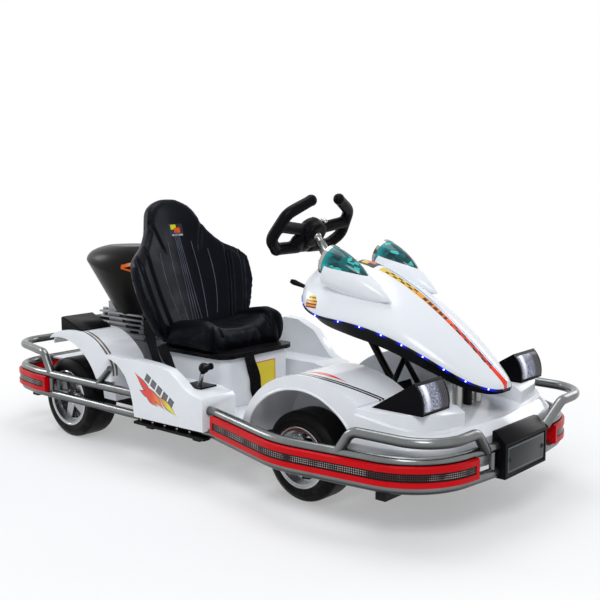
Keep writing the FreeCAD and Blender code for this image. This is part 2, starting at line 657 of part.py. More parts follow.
# Wheels --------------------------------------------------------------------------------
SPOKES = 5
HUB_END = 30.0               # inner end of a hub, from the middle of its wheel


def tyre(radius, rim_r, width):
    """A slick tyre about the Y axis, centred on the origin."""
    half = width / 2
    seat = rim_r - 7.0
    side = [(seat, -half + 8), (rim_r + 6, -half + 2), (radius - 24, -half),
            (radius - 8, -half + 8), (radius, -half + 27)]
    wall = Part.BSplineCurve()
    wall.interpolate([V(r, y, 0) for r, y in side], InitialTangent=V(0.5, -1, 0),
                     FinalTangent=V(0, 1, 0))
    wall = wall.toShape()
    far_wall = wall.mirror(V(0, 0, 0), Y_AXIS)
    tread = line(V(radius, -half + 27, 0), V(radius, half - 27, 0))
    bead = line(V(seat, half - 8, 0), V(seat, -half + 8, 0))
    wire = Part.Wire(Part.sortEdges([wall, tread, far_wall, bead])[0])
    return Part.Face(wire).revolve(V(0, 0, 0), Y_AXIS, 360)


def rim(rim_r, width, bore_r):
    """A five-spoke rim about the Y axis with its face toward -Y."""
    half = width / 2
    seat = rim_r - 7.0
    barrel = cylinder(V(0, 0, 0), Y_AXIS, seat, width - 4)
    bore = cylinder(V(0, 0, 0), Y_AXIS, seat - 5, width)
    ring = barrel.cut(bore)
    for y in (-half + 4, half - 4):
        lip = cylinder(V(0, y, 0), Y_AXIS, rim_r, 5.0)
        ring = ring.fuse(lip.cut(bore))
    face_y = -half + 26.0
    disc = cylinder(V(0, face_y, 0), Y_AXIS, seat - 4, 12.0)
    for i in range(SPOKES):
        turn = 360.0 / SPOKES * i
        inner, outer, wide = 30.0, seat - 14.0, 25.0
        a = math.radians(wide)
        wedge = prism_xz([(inner, 0.0), (outer * math.cos(a), -outer * math.sin(a)),
                          (outer, 0.0), (outer * math.cos(a), outer * math.sin(a))],
                         face_y - 10, face_y + 10)
        wedge.rotate(V(0, 0, 0), Y_AXIS, turn)
        disc = disc.cut(wedge)
    hub = hub_barrel(face_y)
    shaft = cylinder(V(0, 0, 0), Y_AXIS, bore_r, width + 4)
    return fuse(ring, disc, hub).cut(shaft)


def hub_barrel(face_y):
    """The hub barrel, from just outside the spokes to its inner end."""
    start, end = V(0, face_y - 12, 0), V(0, HUB_END, 0)
    return rod(start, end, 21.0)


def placed(shape, x, y, z):
    moved = shape.copy()
    moved.translate(V(x, y, z))
    return moved


def rear_axle():
    """The live axle with its drive sprocket and its two bearing collars."""
    centre = V(REAR_AXLE_X, 0, REAR_TYRE_R)
    hub_face = REAR_WHEEL_Y + REAR_TYRE_W / 2 - 14
    shaft = cylinder(centre, Y_AXIS, AXLE_R, 2 * (hub_face + 10))
    sprocket = cylinder(centre + V(0, 60, 0), Y_AXIS, 62.0, 6.0)
    collars = [cylinder(centre + V(0, y, 0), Y_AXIS, 20.0, 12.0) for y in (-121, 121)]
    nuts = [cylinder(centre + V(0, s * (hub_face + 4), 0), Y_AXIS, 17.0, 8.0)
            for s in (-1, 1)]
    return fuse(shaft, sprocket, *collars, *nuts)


# Chassis frame -------------------------------------------------------------------------
MOTOR_X, MOTOR_R = REAR_AXLE_X + 110, 46.0
RAIL_IN, RAIL_OUT, RAIL_LOW_Z, RAIL_HIGH_Z = 85.0, 110.0, 88.0, 113.0


def yoke():
    """The right-hand end of the front axle beam, with an ear above and below the knuckle."""
    x, z = FRONT_AXLE_X, FRONT_TYRE_R
    web = box(x - 14, x + 14, -KINGPIN_Y + 22, -KINGPIN_Y + 32, z - 38, z + 38)
    ears = []
    for low in (z - 38.0, z + 27.0):
        ears.append(box(x - 14, x + 14, -KINGPIN_Y, -KINGPIN_Y + 30, low, low + 11))
        ears.append(Part.makeCylinder(14.0, 11.0, V(x, -KINGPIN_Y, low)))
    hole = cylinder(V(x, -KINGPIN_Y, z), Z_AXIS, KINGPIN_R + RUNNING_GAP, 100.0)
    return fuse(web, *ears).cut(hole)


def bearing():
    """A pillow block on the right rail, with its running bore for the rear axle."""
    x, z = REAR_AXLE_X, REAR_TYRE_R
    block = fuse(box(x - 32, x + 32, -RAIL_OUT + 2, -RAIL_IN - 2, RAIL_HIGH_Z - 10, z),
                 cylinder(V(x, -(RAIL_IN + RAIL_OUT) / 2, z), Y_AXIS, 28.0,
                          RAIL_OUT - RAIL_IN - 4))
    hole = cylinder(V(x, -100, z), Y_AXIS, AXLE_R + RUNNING_GAP, 60.0)
    return block.cut(hole)


def chassis_frame(tubes):
    """The welded ladder frame under the floor, with saddles round the outer tubes."""
    rear, front = TUBE_REAR_X + 90, TUBE_FRONT_X - 150
    rail = box(rear, front, -RAIL_OUT, -RAIL_IN, RAIL_LOW_Z, RAIL_HIGH_Z)
    half = [rail, yoke(), bearing()]
    for x, reach in ((rear + 15, REAR_CORNER_Y), (POD_REAR_X + 178, SIDE_Y),
                     (POD_FRONT_X - 61, SIDE_Y), (front - 15, -front_tube_y(front - 15))):
        half.append(box(x - 15, x + 15, -reach, 0, RAIL_HIGH_Z - 2, TUBE_LOW_Z))
    half.append(box(FRONT_AXLE_X - 14, FRONT_AXLE_X + 14, -KINGPIN_Y + 30, 0,
                    RAIL_HIGH_Z - 2, RAIL_HIGH_Z + 20))
    for x in (POD_REAR_X + 8, POD_REAR_X + 178, POD_FRONT_X - 61, FRONT_AXLE_X - 165):
        half.append(box(x - 12, x + 12, -RAIL_OUT, 0, RAIL_HIGH_Z - 2, FLOOR_Z - FLOOR_T))
    half.append(box(DECK_REAR_X + 20, DECK_REAR_X + 44, -RAIL_OUT, 0, RAIL_HIGH_Z - 2, 240.0))
    for x in (REAR_AXLE_X - 72, REAR_AXLE_X + 180):
        half.append(box(x - 12, x + 12, -RAIL_OUT, -RAIL_IN, RAIL_HIGH_Z - 2, REAR_DECK_Z - 6))
    rack_box = cylinder(V(RACK_X, -30, RACK_Z), Y_AXIS, RACK_BOX_R, 60.0)
    rack_foot = box(RACK_X - 10, RACK_X + 10, -RAIL_OUT, 0, RAIL_HIGH_Z - 2, RAIL_HIGH_Z + 14)
    motor_bed = box(MOTOR_X - 15, MOTOR_X + 15, -RAIL_IN, 0, RAIL_LOW_Z, RAIL_HIGH_Z)
    half += [rack_box, rack_foot, motor_bed]
    right = fuse(*half)
    frame = fuse(right, mirrored(right))
    rack_bore = cylinder(V(RACK_X, 0, RACK_Z), Y_AXIS, RACK_R + RUNNING_GAP, 300.0)
    return frame.cut(rack_bore).cut(tubes)


# Floor, pods and rear body --------------------------------------------------------------
REAR_DECK_Z, REAR_DECK_Y = 230.0, 180.0
POD_OUT_Y, POD_IN_Y, POD_LOW_Z = 352.0, 216.0, 150.0
SHELF_Z, CREST_IN_Y = 262.0, 316.0
LEFT_CREST_RISE = 56.0       # the left pod's crest stands this much higher


def floor_pan(shaft_hole):
    """The moulded floor, narrow between the front wheels and wide at the seat."""
    step = FRONT_AXLE_X - 193
    half = [(DECK_REAR_X, -TUNNEL_Y), (step, -TUNNEL_Y), (step - 22, -200.0),
            (step - 37, -300.0),
            (POD_FRONT_X, -POD_IN_Y), (POD_REAR_X - 30, -POD_IN_Y + 20)]
    points = half + [(x, -y) for x, y in reversed(half)]
    return prism_xy(points, FLOOR_Z - FLOOR_T, FLOOR_Z).cut(shaft_hole)


def pod_profile(crest_extra):
    """The pod's side profile. The crest may rise further along its rear half."""
    x0, x1 = POD_REAR_X, POD_FRONT_X
    return [(x1, 154.0), (x1, 240.0), (x1 - 10, 252.0), (x1 - 46, 258.0), (x1 - 76, 271.0),
            (x1 - 108, 295.0 + 0.2 * crest_extra), (x1 - 146, 317.0 + 0.6 * crest_extra),
            (x0 + 230, 326.0 + crest_extra), (x0 + 168, 329.0 + crest_extra),
            (x0 + 108, 329.0 + 0.6 * crest_extra), (x0, 326.0), (x0, 318.0),
            (x0 + 38, 314.0), (x0 + 72, 300.0), (x0 + 103, 272.0), (x0 + 124, 235.0),
            (x0 + 136, 195.0), (x0 + 143, POD_LOW_Z)]


def side_pod(crest_extra, tubes):
    """The right pod: an outer wall with a raised crest and a lower shelf inside it."""
    profile = pod_profile(crest_extra)
    outer = prism_xz(profile, -POD_OUT_Y, -POD_IN_Y)
    shelf = box(POD_REAR_X - 1, POD_FRONT_X + 1, -CREST_IN_Y, -POD_IN_Y + 1, SHELF_Z, 500.0)
    outer = outer.cut(shelf)
    x0, x1 = POD_REAR_X + 148, POD_FRONT_X - SHELL
    hollow = box(x0, x1, -POD_OUT_Y + SHELL, -POD_IN_Y - SHELL, POD_LOW_Z - 1, 236.0)
    return outer.cut(hollow).cut(tubes)


def rear_deck():
    """The panel between the rear fenders that carries the mock engine."""
    return box(TUBE_REAR_X + 65, POD_REAR_X - 26.0, -REAR_DECK_Y, REAR_DECK_Y, REAR_DECK_Z - 6,
               REAR_DECK_Z)


REAR_FENDER_Y, REAR_FENDER_LOW_Y, LEDGE_Z = 322.0, 306.0, 232.0
REAR_CREST = ahead_of(REAR_AXLE_X, [
    (-68.0, 330.0), (-50.0, 349.0), (5.0, 371.0), (70.0, 380.0), (130.0, 377.0),
    (187.0, 357.0), (235.0, 322.0), (262.0, 290.0), (268.0, 250.0)])


def rear_fender_volume(t):
    """The fender as a solid, drawn in by t. It is narrower low down, inside the tubes."""
    crest = drawn_in(REAR_CREST, (REAR_AXLE_X + 80, 200.0), t) if t else REAR_CREST
    inner_y = -REAR_DECK_Y - t
    low = skin_prism(crest, 168.0 - t, -REAR_FENDER_LOW_Y + t, inner_y)
    high = skin_prism(crest, 168.0, -REAR_FENDER_Y + t, inner_y)
    above = box(REAR_AXLE_X - 200, REAR_AXLE_X + 400, -400, 0, LEDGE_Z + t, 500)
    return low.fuse(high.common(above))


def rear_fender():
    """A shell over the right rear wheel with a round arch in its outer face."""
    shell = rear_fender_volume(0.0).cut(rear_fender_volume(SHELL))
    arch = rod(V(REAR_AXLE_X, -REAR_FENDER_Y - 1, REAR_TYRE_R),
               V(REAR_AXLE_X, -REAR_FENDER_LOW_Y + SHELL + 1, REAR_TYRE_R), 212.0)
    slot = cylinder(V(REAR_AXLE_X, -REAR_DECK_Y, REAR_TYRE_R), Y_AXIS, 60.0, 20.0)
    behind = box(REAR_AXLE_X - 120, REAR_AXLE_X - 40, -400, -REAR_DECK_Y + 1, 100.0, 318.0)
    return shell.cut(arch).cut(slot).cut(behind)


def tail_box():
    """The wedge on top of the right rear fender."""
    side = ahead_of(REAR_AXLE_X, [(2.0, 340.0), (2.0, 416.0), (14.0, 420.0), (112.0, 384.0),
                                  (120.0, 360.0)])
    wedge = prism_xz(side, -REAR_FENDER_Y + 4, -196.0)
    return wedge.cut(rear_fender_volume(0.0))


# Seat ----------------------------------------------------------------------------------
SEAT_REAR_X, SEAT_BOX_Y = POD_REAR_X + 46, 150.0
SEAT_FRONT_X = SEAT_REAR_X + 296
BOX_TOP_Z, LID_T = 322.0, 13.0
CUSHION_Z = BOX_TOP_Z + LID_T
BACK_FOOT = V(SEAT_REAR_X + 32, 0.0, CUSHION_Z + 7)
BACK_LEAN_DEG = 19.0
BACK_T = 46.0


def rounded_block(x0, x1, half_y, z0, z1, radius):
    block = box(x0, x1, -half_y, half_y, z0, z1)
    upright = [e for e in block.Edges if abs(e.tangentAt(e.FirstParameter).z) > 0.99]
    return block.makeFillet(radius, upright)


def seat_box():
    outer = rounded_block(SEAT_REAR_X, SEAT_FRONT_X, SEAT_BOX_Y, FLOOR_Z, BOX_TOP_Z, 34.0)
    inner = rounded_block(SEAT_REAR_X + SHELL, SEAT_FRONT_X - SHELL, SEAT_BOX_Y - SHELL,
                          FLOOR_Z - 1, BOX_TOP_Z + 1, 30.0)
    return outer.cut(inner)


def seat_lid():
    return rounded_block(SEAT_REAR_X - 14, SEAT_FRONT_X + 12, SEAT_BOX_Y + 16, BOX_TOP_Z,
                         CUSHION_Z, 44.0)


def battery():
    return box(SEAT_REAR_X + 24, SEAT_FRONT_X - 24, -118.0, 118.0, FLOOR_Z, FLOOR_Z + 130)


def seat_cushion(back):
    """A squab with raised wings at its sides."""
    half = [(0.0, CUSHION_Z), (172.0, CUSHION_Z), (190.0, 360.0), (194.0, 395.0),
            (180.0, 418.0), (154.0, 420.0), (118.0, 398.0), (0.0, 386.0)]
    points = half + [(-y, z) for y, z in reversed(half[1:-1])]
    squab = prism_yz(points, SEAT_REAR_X + 20, SEAT_FRONT_X - 36)
    return squab.cut(back)


def seat_back(lid):
    """The high-backed bucket: shoulder wings that wrap forward and a narrow headrest."""
    half = [(150, 0), (208, 48), (240, 120), (256, 185), (257, 236), (242, 276), (206, 308),
            (166, 340), (132, 385), (112, 430), (88, 468), (48, 492), (0, 500)]
    outline = [V(-y, s, 0) for y, s in half] + [V(y, s, 0) for y, s in reversed(half[:-1])]
    rim_curve = Part.BSplineCurve()
    rim_curve.interpolate(outline)
    face = Part.Face(Part.Wire([rim_curve.toShape(), line(outline[-1], outline[0])]))
    plug = face.extrude(V(0, 0, 200.0))
    reach, wrap = 266.0, 78.0
    stations = [-reach, -reach * 0.72, -reach * 0.4, 0.0, reach * 0.4, reach * 0.72, reach]
    front = [V(y, -20, 60 + wrap * (y / reach) ** 2 + BACK_T) for y in stations]
    rear = [V(y, -20, 60 + wrap * (y / reach) ** 2) for y in reversed(stations)]
    front_curve, rear_curve = Part.BSplineCurve(), Part.BSplineCurve()
    front_curve.interpolate(front)
    rear_curve.interpolate(rear)
    slab = Part.Face(Part.Wire([front_curve.toShape(), line(front[-1], rear[0]),
                                rear_curve.toShape(), line(rear[-1], front[0])]))
    shape = plug.common(slab.extrude(V(0, 540, 0)))
    lean = math.radians(BACK_LEAN_DEG)
    up = V(-math.sin(lean), 0, math.cos(lean))
    forward = V(math.cos(lean), 0, math.sin(lean))
    across = up.cross(forward)
    turn = FreeCAD.Rotation(across, up, forward, "XYZ")
    shape.Placement = FreeCAD.Placement(BACK_FOOT - forward * (60.0 + BACK_T), turn)
    return shape.cut(lid)


def strap(start, end, across, width=45.0, thick=2.5):
    """A flat length of webbing between two points."""
    run = (end - start)
    across = V(across).normalize()
    face_normal = run.cross(across).normalize()
    corners = [start - across * (width / 2), start + across * (width / 2),
               end + across * (width / 2), end - across * (width / 2)]
    return Part.Face(Part.makePolygon(corners + corners[:1])).extrude(face_normal * thick)


def seat_belts(*neighbours):
    """Two straps from the seat down to the pod and one that hangs over the box front."""
    front = strap(V(SEAT_FRONT_X + 11, -62, BOX_TOP_Z + 6), V(SEAT_FRONT_X + 17, -16, 176),
                  V(0, 1, 0.3))
    x = SEAT_REAR_X
    rear = [strap(V(x - 38, -176, 420), V(x + 26, -186, 266), V(1, 0, 0.2)),
            strap(V(x + 66, -208, 352), V(x + 130, -216, 266), V(1, 0, 0.2))]
    belts = [front] + rear
    for neighbour in neighbours:
        belts = [belt.cut(neighbour) for belt in belts]
    return belts


def shift_lever():
    """The gate plate on the right pod's shelf, with its shaft and knob."""
    x, y = POD_FRONT_X - 99, -268.0
    plate = box(x - 42, x + 40, y - 32, y + 32, SHELF_Z, SHELF_Z + 5)
    shaft = rod(V(x, y, SHELF_Z + 4), V(x + 18, y, SHELF_Z + 52), 7.0)
    knob = fuse(Part.makeSphere(16.0, V(x + 20, y, SHELF_Z + 58)),
                rod(V(x + 20, y, SHELF_Z + 58), V(x + 52, y, SHELF_Z + 68), 10.0))
    return fuse(plate, shaft, knob)


def pedals():
    """Accelerator and brake pads on stalks that rise from the foot well."""
    pads = []
    for y in (-78.0, 78.0):
        x = FRONT_AXLE_X + 100
        stalk = rod(V(x + 34, y, FLOOR_Z), V(x + 10, y, 248.0), 6.0)
        pad = Part.makeBox(10.0, 54.0, 74.0, V(0, -27.0, -37.0))
        pad.rotate(V(0, 0, 0), Y_AXIS, -25.0)
        pad.translate(V(x, y, 256.0))
        pads.append(fuse(stalk, pad))
    return pads


# Mock engine and its cover ---------------------------------------------------------------
def oval(x0, x1, half_y, z_rear, z_front):
    """A closed oval in plan, tilted so that its ends lie at the two heights."""
    middle, reach = (x0 + x1) / 2, (x1 - x0) / 2
    points = []
    for i in range(16):
        a = 2 * math.pi * i / 16
        c, s = math.cos(a), math.sin(a)
        share = (c + 1) / 2
        points.append(V(middle + reach * c, half_y * s, z_rear + (z_front - z_rear) * share))
    curve = Part.BSplineCurve()
    curve.interpolate(points, PeriodicFlag=True)
    return Part.Wire([curve.toShape()])


def engine_cover():
    """The tank-shaped cover: a domed top whose edge sweeps down forward, on a narrow body."""
    x = REAR_AXLE_X
    edge = oval(x - 206, x + 186, 132.0, 594.0, 524.0)
    body = Part.makeLoft([oval(x + 6, x + 160, 70.0, 330.0, 330.0),
                          oval(x - 90, x + 172, 100.0, 450.0, 430.0), edge], True)
    crown = Part.makeLoft([edge, oval(x - 184, x + 180, 122.0, 614.0, 590.0),
                           oval(x - 110, x + 130, 74.0, 636.0, 642.0)], True)
    return fuse(body, crown)


def mock_engine(cover):
    """The finned dummy engine under the cover."""
    x = REAR_AXLE_X
    parts = [box(x - 100, x + 160, -92.0, 92.0, REAR_DECK_Z, 316.0),
             box(x - 60, x + 130, -70.0, 70.0, 310.0, 440.0)]
    for i in range(5):
        z = 333.0 + 17.0 * i
        parts.append(box(x - 88, x + 150, -90.0, 90.0, z, z + 6))
    parts.append(cylinder(V(x - 102, 0, 372.0), Y_AXIS, 17.0, 196.0))
    for y in (-60.0, 60.0):
        parts.append(rod(V(x - 90, y, 412.0), V(x - 106, y, 300.0), 10.0))
    return fuse(*parts).cut(cover)


def drive_motor():
    return cylinder(V(MOTOR_X, -20.0, RAIL_HIGH_Z + MOTOR_R), Y_AXIS, MOTOR_R, 120.0)


# Assembly --------------------------------------------------------------------------------
def build():
    """Every node's shape, by name."""
    nodes = {}

    def pair(name, shape):
        nodes[name + "_right"] = shape
        nodes[name + "_left"] = mirrored(shape)

    front, rear = front_bumper(), rear_bumper()
    rails = both(side_rail()).cut(front).cut(rear)
    nodes["front_bumper"], nodes["rear_bumper"], nodes["side_rails"] = front, rear, rails
    tubes = Part.makeCompound([front, rear, rails])
    nodes["light_bars"] = light_bars(tubes)
    nodes["light_strips"] = light_strips(nodes["light_bars"])
    nodes["plate_box"] = plate_box(front)
    hole = shaft_clearance()
    deck, fenders = front_deck(), both(front_fender())
    nodes["front_deck"], nodes["front_fenders"] = deck, fenders
    nodes["headlight_housings"] = both(headlight_housing())
    nodes["headlight_lenses"] = both(headlight_lens())
    cone = nose_cone(hole)
    strip = nose_led_strip(cone, hole)
    tray = nose_tray(strip, hole)
    nodes["nose_cone"], nodes["nose_led_strip"], nodes["nose_tray"] = cone, strip, tray
    lamp = nose_lamp(cone)
    nodes["nose_lamps"] = both(lamp)
    nodes["nose_lamp_bezels"] = both(nose_bezel(cone).cut(lamp))
    nodes["nose_posts"] = Part.makeCompound(nose_posts(tray, deck, fenders))
    nodes["steering_shaft"] = steering_shaft()
    nodes["steering_wheel"] = steering_wheel()
    nodes["steering_rack"] = steering_rack()
    pair("knuckle", knuckle())
    front_tyre = tyre(FRONT_TYRE_R, FRONT_RIM_R, FRONT_TYRE_W)
    front_rim = rim(FRONT_RIM_R, FRONT_TYRE_W, STUB_R + RUNNING_GAP)
    pair("front_tyre", placed(front_tyre.cut(front_rim), FRONT_AXLE_X, -FRONT_WHEEL_Y,
                              FRONT_TYRE_R))
    pair("front_rim", placed(front_rim, FRONT_AXLE_X, -FRONT_WHEEL_Y, FRONT_TYRE_R))
    rear_tyre = tyre(REAR_TYRE_R, REAR_RIM_R, REAR_TYRE_W)
    rear_rim = rim(REAR_RIM_R, REAR_TYRE_W, AXLE_R)
    nodes["rear_tyres"] = both(placed(rear_tyre.cut(rear_rim), REAR_AXLE_X, -REAR_WHEEL_Y,
                                      REAR_TYRE_R))
    nodes["rear_rims"] = both(placed(rear_rim, REAR_AXLE_X, -REAR_WHEEL_Y, REAR_TYRE_R))
    nodes["rear_axle"] = rear_axle()
    nodes["chassis_frame"] = chassis_frame(tubes)
    nodes["floor_pan"] = floor_pan(hole)
    nodes["side_pods"] = Part.makeCompound(
        [side_pod(0.0, tubes), mirrored(side_pod(LEFT_CREST_RISE, tubes))])
    nodes["shift_lever"] = shift_lever()
    nodes["pedals"] = Part.makeCompound(pedals()).cut(nodes["floor_pan"])
    nodes["rear_deck"] = rear_deck()
    nodes["rear_fenders"] = both(rear_fender()).cut(tubes)
    nodes["tail_boxes"] = both(tail_box())
    nodes["seat_box"], nodes["seat_lid"], nodes["battery"] = seat_box(), seat_lid(), battery()
    back = seat_back(nodes["seat_lid"])
    cushion = seat_cushion(back)
    nodes["seat_back"], nodes["seat_cushion"] = back, cushion
    nodes["seat_belts"] = Part.makeCompound(
        seat_belts(back, cushion, nodes["seat_lid"], nodes["side_pods"]))
    cover = engine_cover()
    nodes["engine_cover"] = cover
    nodes["mock_engine"] = mock_engine(cover)
    nodes["drive_motor"] = drive_motor()
    return nodes


os.makedirs("parts", exist_ok=True)
for name, shape in build().items():
    shape.exportStep("parts/%s.step" % name)
    print(name, len(shape.Solids), shape.isValid())
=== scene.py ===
# %% [markdown]
# # Dressing an electric go-kart
# The kart arrives as plain solids, one object for each sub-part. This notebook gives every solid
# its finish, replaces the seat, the straps and the steering wheel by shaped pieces, and adds the
# small things that sit on the surfaces: screws, lamps, lips, piping and trim. All lengths are
# metres, with +X forward, +Y to the driver's left and +Z up.

# %% Load the frame
import json
import math
import bpy
import mathutils
from mathutils import Matrix, Quaternion, Vector

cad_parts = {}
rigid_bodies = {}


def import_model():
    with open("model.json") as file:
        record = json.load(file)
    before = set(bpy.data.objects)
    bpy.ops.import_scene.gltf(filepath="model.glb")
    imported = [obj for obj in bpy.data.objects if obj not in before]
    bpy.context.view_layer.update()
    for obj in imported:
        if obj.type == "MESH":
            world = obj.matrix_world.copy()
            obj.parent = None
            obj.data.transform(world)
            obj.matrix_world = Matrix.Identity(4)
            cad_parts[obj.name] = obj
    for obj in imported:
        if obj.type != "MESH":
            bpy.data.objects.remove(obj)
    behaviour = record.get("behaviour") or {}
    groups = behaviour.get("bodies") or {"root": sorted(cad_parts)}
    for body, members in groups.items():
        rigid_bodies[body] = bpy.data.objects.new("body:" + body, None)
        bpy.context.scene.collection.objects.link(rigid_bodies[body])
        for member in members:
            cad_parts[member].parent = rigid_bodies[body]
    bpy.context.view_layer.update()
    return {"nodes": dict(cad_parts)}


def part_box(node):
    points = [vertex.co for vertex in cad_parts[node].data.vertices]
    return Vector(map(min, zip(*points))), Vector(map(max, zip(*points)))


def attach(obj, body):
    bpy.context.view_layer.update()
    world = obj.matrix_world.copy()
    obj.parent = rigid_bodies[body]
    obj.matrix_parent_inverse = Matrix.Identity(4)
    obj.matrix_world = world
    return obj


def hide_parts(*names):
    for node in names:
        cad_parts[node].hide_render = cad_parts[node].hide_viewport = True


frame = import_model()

nodes = frame["nodes"]

# %% [markdown]
# ## Measures taken from the frame
# Every later place is worked out from the boxes of the solids, so the pieces follow when a size
# of the kart changes. `low` and `high` are the two corners of a node's box.

# %% Where the main things are
def low(name):
    return Vector(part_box(name)[0])


def high(name):
    return Vector(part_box(name)[1])


def middle(name):
    return (low(name) + high(name)) / 2


NOSE_X = high("plate_box").x
FRONT_AXLE = middle("front_tyre_right")
REAR_AXLE_X = middle("rear_tyres").x
POD_REAR_X = low("side_pods").x
print("wheelbase", round(FRONT_AXLE.x - REAR_AXLE_X, 3))

# %% [markdown]
# ## Camera
# The kart is looked at from its front right corner, a little above the wheels. A long lens keeps
# the perspective calm. The camera looks along its own -Z axis, so its direction is written as the
# vector that points back from the kart, and the tiny roll and shift level the picture.

# %% Camera
def add_camera(place, azimuth, elevation, roll, lens, shift):
    """A camera at a place, looking back along a direction given by two angles in degrees."""
    data = bpy.data.cameras.new("camera")
    data.lens = lens
    data.shift_x, data.shift_y = shift
    camera = bpy.data.objects.new("camera", data)
    bpy.context.scene.collection.objects.link(camera)
    side, rise = math.radians(azimuth), math.radians(elevation)
    back = Vector((math.sin(side) * math.cos(rise), -math.cos(side) * math.cos(rise),
                   math.sin(rise)))
    turn = back.to_track_quat("Z", "Y") @ Quaternion((0, 0, 1), math.radians(roll))
    camera.matrix_world = Matrix.Translation(place) @ turn.to_matrix().to_4x4()
    bpy.context.scene.camera = camera
    return camera


camera = add_camera(place=(2.135, -2.226, 0.918), azimuth=41.2, elevation=7.7, roll=-0.29,
                    lens=58.6, shift=(0.0, -0.005))
print("camera at", tuple(round(v, 3) for v in camera.matrix_world.translation))

# %% [markdown]
# ## Floor and light
# A white floor that fades into a white surround gives the kart clean edges, while its own soft
# shadow keeps it on the ground. The fade reads Object coordinates, so it stays under the kart
# from any side. The surround is white only to the camera and to mirrors: the kart itself is lit
# by area lamps.

# %% World
def seen_directly(tree):
    """1 for rays that come from the camera, from a mirror or through glass."""
    path = tree.nodes.new("ShaderNodeLightPath")
    total = tree.nodes.new("ShaderNodeMath")
    total.operation = "ADD"
    tree.links.new(path.outputs["Is Camera Ray"], total.inputs[0])
    tree.links.new(path.outputs["Is Glossy Ray"], total.inputs[1])
    seen = tree.nodes.new("ShaderNodeMath")
    seen.operation = "ADD"
    seen.use_clamp = True
    tree.links.new(total.outputs[0], seen.inputs[0])
    tree.links.new(path.outputs["Is Transmission Ray"], seen.inputs[1])
    return seen.outputs[0]


AMBIENT_BLUE, AMBIENT_STRENGTH = (0.86, 0.92, 1.0, 1.0), 0.38

world = bpy.data.worlds.new("studio")
world.use_nodes = True
bpy.context.scene.world = world
tree = world.node_tree
ambient = tree.nodes["Background"]
ambient.inputs["Color"].default_value = AMBIENT_BLUE
ambient.inputs["Strength"].default_value = AMBIENT_STRENGTH
white = tree.nodes.new("ShaderNodeBackground")
white.inputs["Color"].default_value = (1.0, 1.0, 1.0, 1.0)
choose = tree.nodes.new("ShaderNodeMixShader")
tree.links.new(seen_directly(tree), choose.inputs["Fac"])
tree.links.new(ambient.outputs[0], choose.inputs[1])
tree.links.new(white.outputs[0], choose.inputs[2])
tree.links.new(choose.outputs[0], tree.nodes["World Output"].inputs["Surface"])
bpy.context.scene.view_settings.view_transform = "Standard"
print("world ready")

# %% Floor
FLOOR_SIZE, FLOOR_DROP = 60.0, 0.0005
FADE_START, FADE_END = 0.75, 1.7


def new_material(name):
    """An empty material. Returns it with its tree and its shader."""
    material = bpy.data.materials.new(name)
    material.use_nodes = True
    return material, material.node_tree, material.node_tree.nodes["Principled BSDF"]


def set_inputs(node, **values):
    """Sets the constants on a node's own sockets, with _ for each space in a name."""
    for label, value in values.items():
        node.inputs[label.replace("_", " ")].default_value = value


def add_floor():
    bpy.ops.object.select_all(action="DESELECT")
    bpy.ops.mesh.primitive_plane_add(size=FLOOR_SIZE, location=(0, 0, -FLOOR_DROP))
    floor = bpy.context.object
    bpy.ops.object.transform_apply(location=True)
    floor.name = "floor"
    material, tree, shader = new_material("floor_white")
    set_inputs(shader, Base_Color=(0.9, 0.9, 0.9, 1.0), Roughness=0.6, Specular_IOR_Level=0.1)
    place = tree.nodes.new("ShaderNodeTexCoord")
    reach = tree.nodes.new("ShaderNodeVectorMath")
    reach.operation = "LENGTH"
    fade = tree.nodes.new("ShaderNodeMapRange")
    fade.interpolation_type = "SMOOTHSTEP"
    set_inputs(fade, From_Min=FADE_START, From_Max=FADE_END, To_Min=0.35)
    shown = tree.nodes.new("ShaderNodeMath")
    shown.operation = "MULTIPLY"
    glow = tree.nodes.new("ShaderNodeEmission")
    blend = tree.nodes.new("ShaderNodeMixShader")
    tree.links.new(place.outputs["Object"], reach.inputs[0])
    tree.links.new(reach.outputs["Value"], fade.inputs["Value"])
    tree.links.new(fade.outputs["Result"], shown.inputs[0])
    tree.links.new(seen_directly(tree), shown.inputs[1])
    tree.links.new(shown.outputs[0], blend.inputs["Fac"])
    tree.links.new(shader.outputs[0], blend.inputs[1])
    tree.links.new(glow.outputs[0], blend.inputs[2])
    tree.links.new(blend.outputs[0], tree.nodes["Material Output"].inputs["Surface"])
    floor.data.materials.append(material)
    return floor


floor = add_floor()
print("floor", FLOOR_SIZE, "m wide,", FLOOR_DROP, "m below the tyres")

# %% Lamps
def add_lamp(name, place, aim, size, watts, colour=(1.0, 1.0, 1.0)):
    """A round area lamp at a place, aimed at a point."""
    data = bpy.data.lights.new(name, "AREA")
    data.shape = "DISK"
    data.size, data.energy, data.color = size, watts, colour
    lamp = bpy.data.objects.new(name, data)
    bpy.context.scene.collection.objects.link(lamp)
    turn = (Vector(place) - Vector(aim)).to_track_quat("Z", "Y")
    lamp.matrix_world = Matrix.Translation(place) @ turn.to_matrix().to_4x4()
    return lamp


add_lamp("key", (2.2, -2.6, 3.0), (0, 0, 0.3), 1.6, 67)
add_lamp("overhead", (-0.4, 0.3, 3.4), (0, 0, 0.2), 2.4, 49, (0.95, 0.97, 1.0))
add_lamp("left_fill", (1.0, 3.2, 1.8), (0, 0, 0.3), 1.8, 24)
add_lamp("rear_rim", (-3.4, -1.2, 1.9), (0, 0, 0.3), 1.2, 30)
print("4 lamps")

# %% [markdown]
# ## Shader groups
# Dust, scuffs and the fine unevenness of a moulded or painted surface turn up in nearly every
# finish, so each is a node group made once and placed with its own values. The threads of woven
# webbing and the grain of leather are made the same way. Groups put out only masks and heights,
# and the shader itself stays in each material.

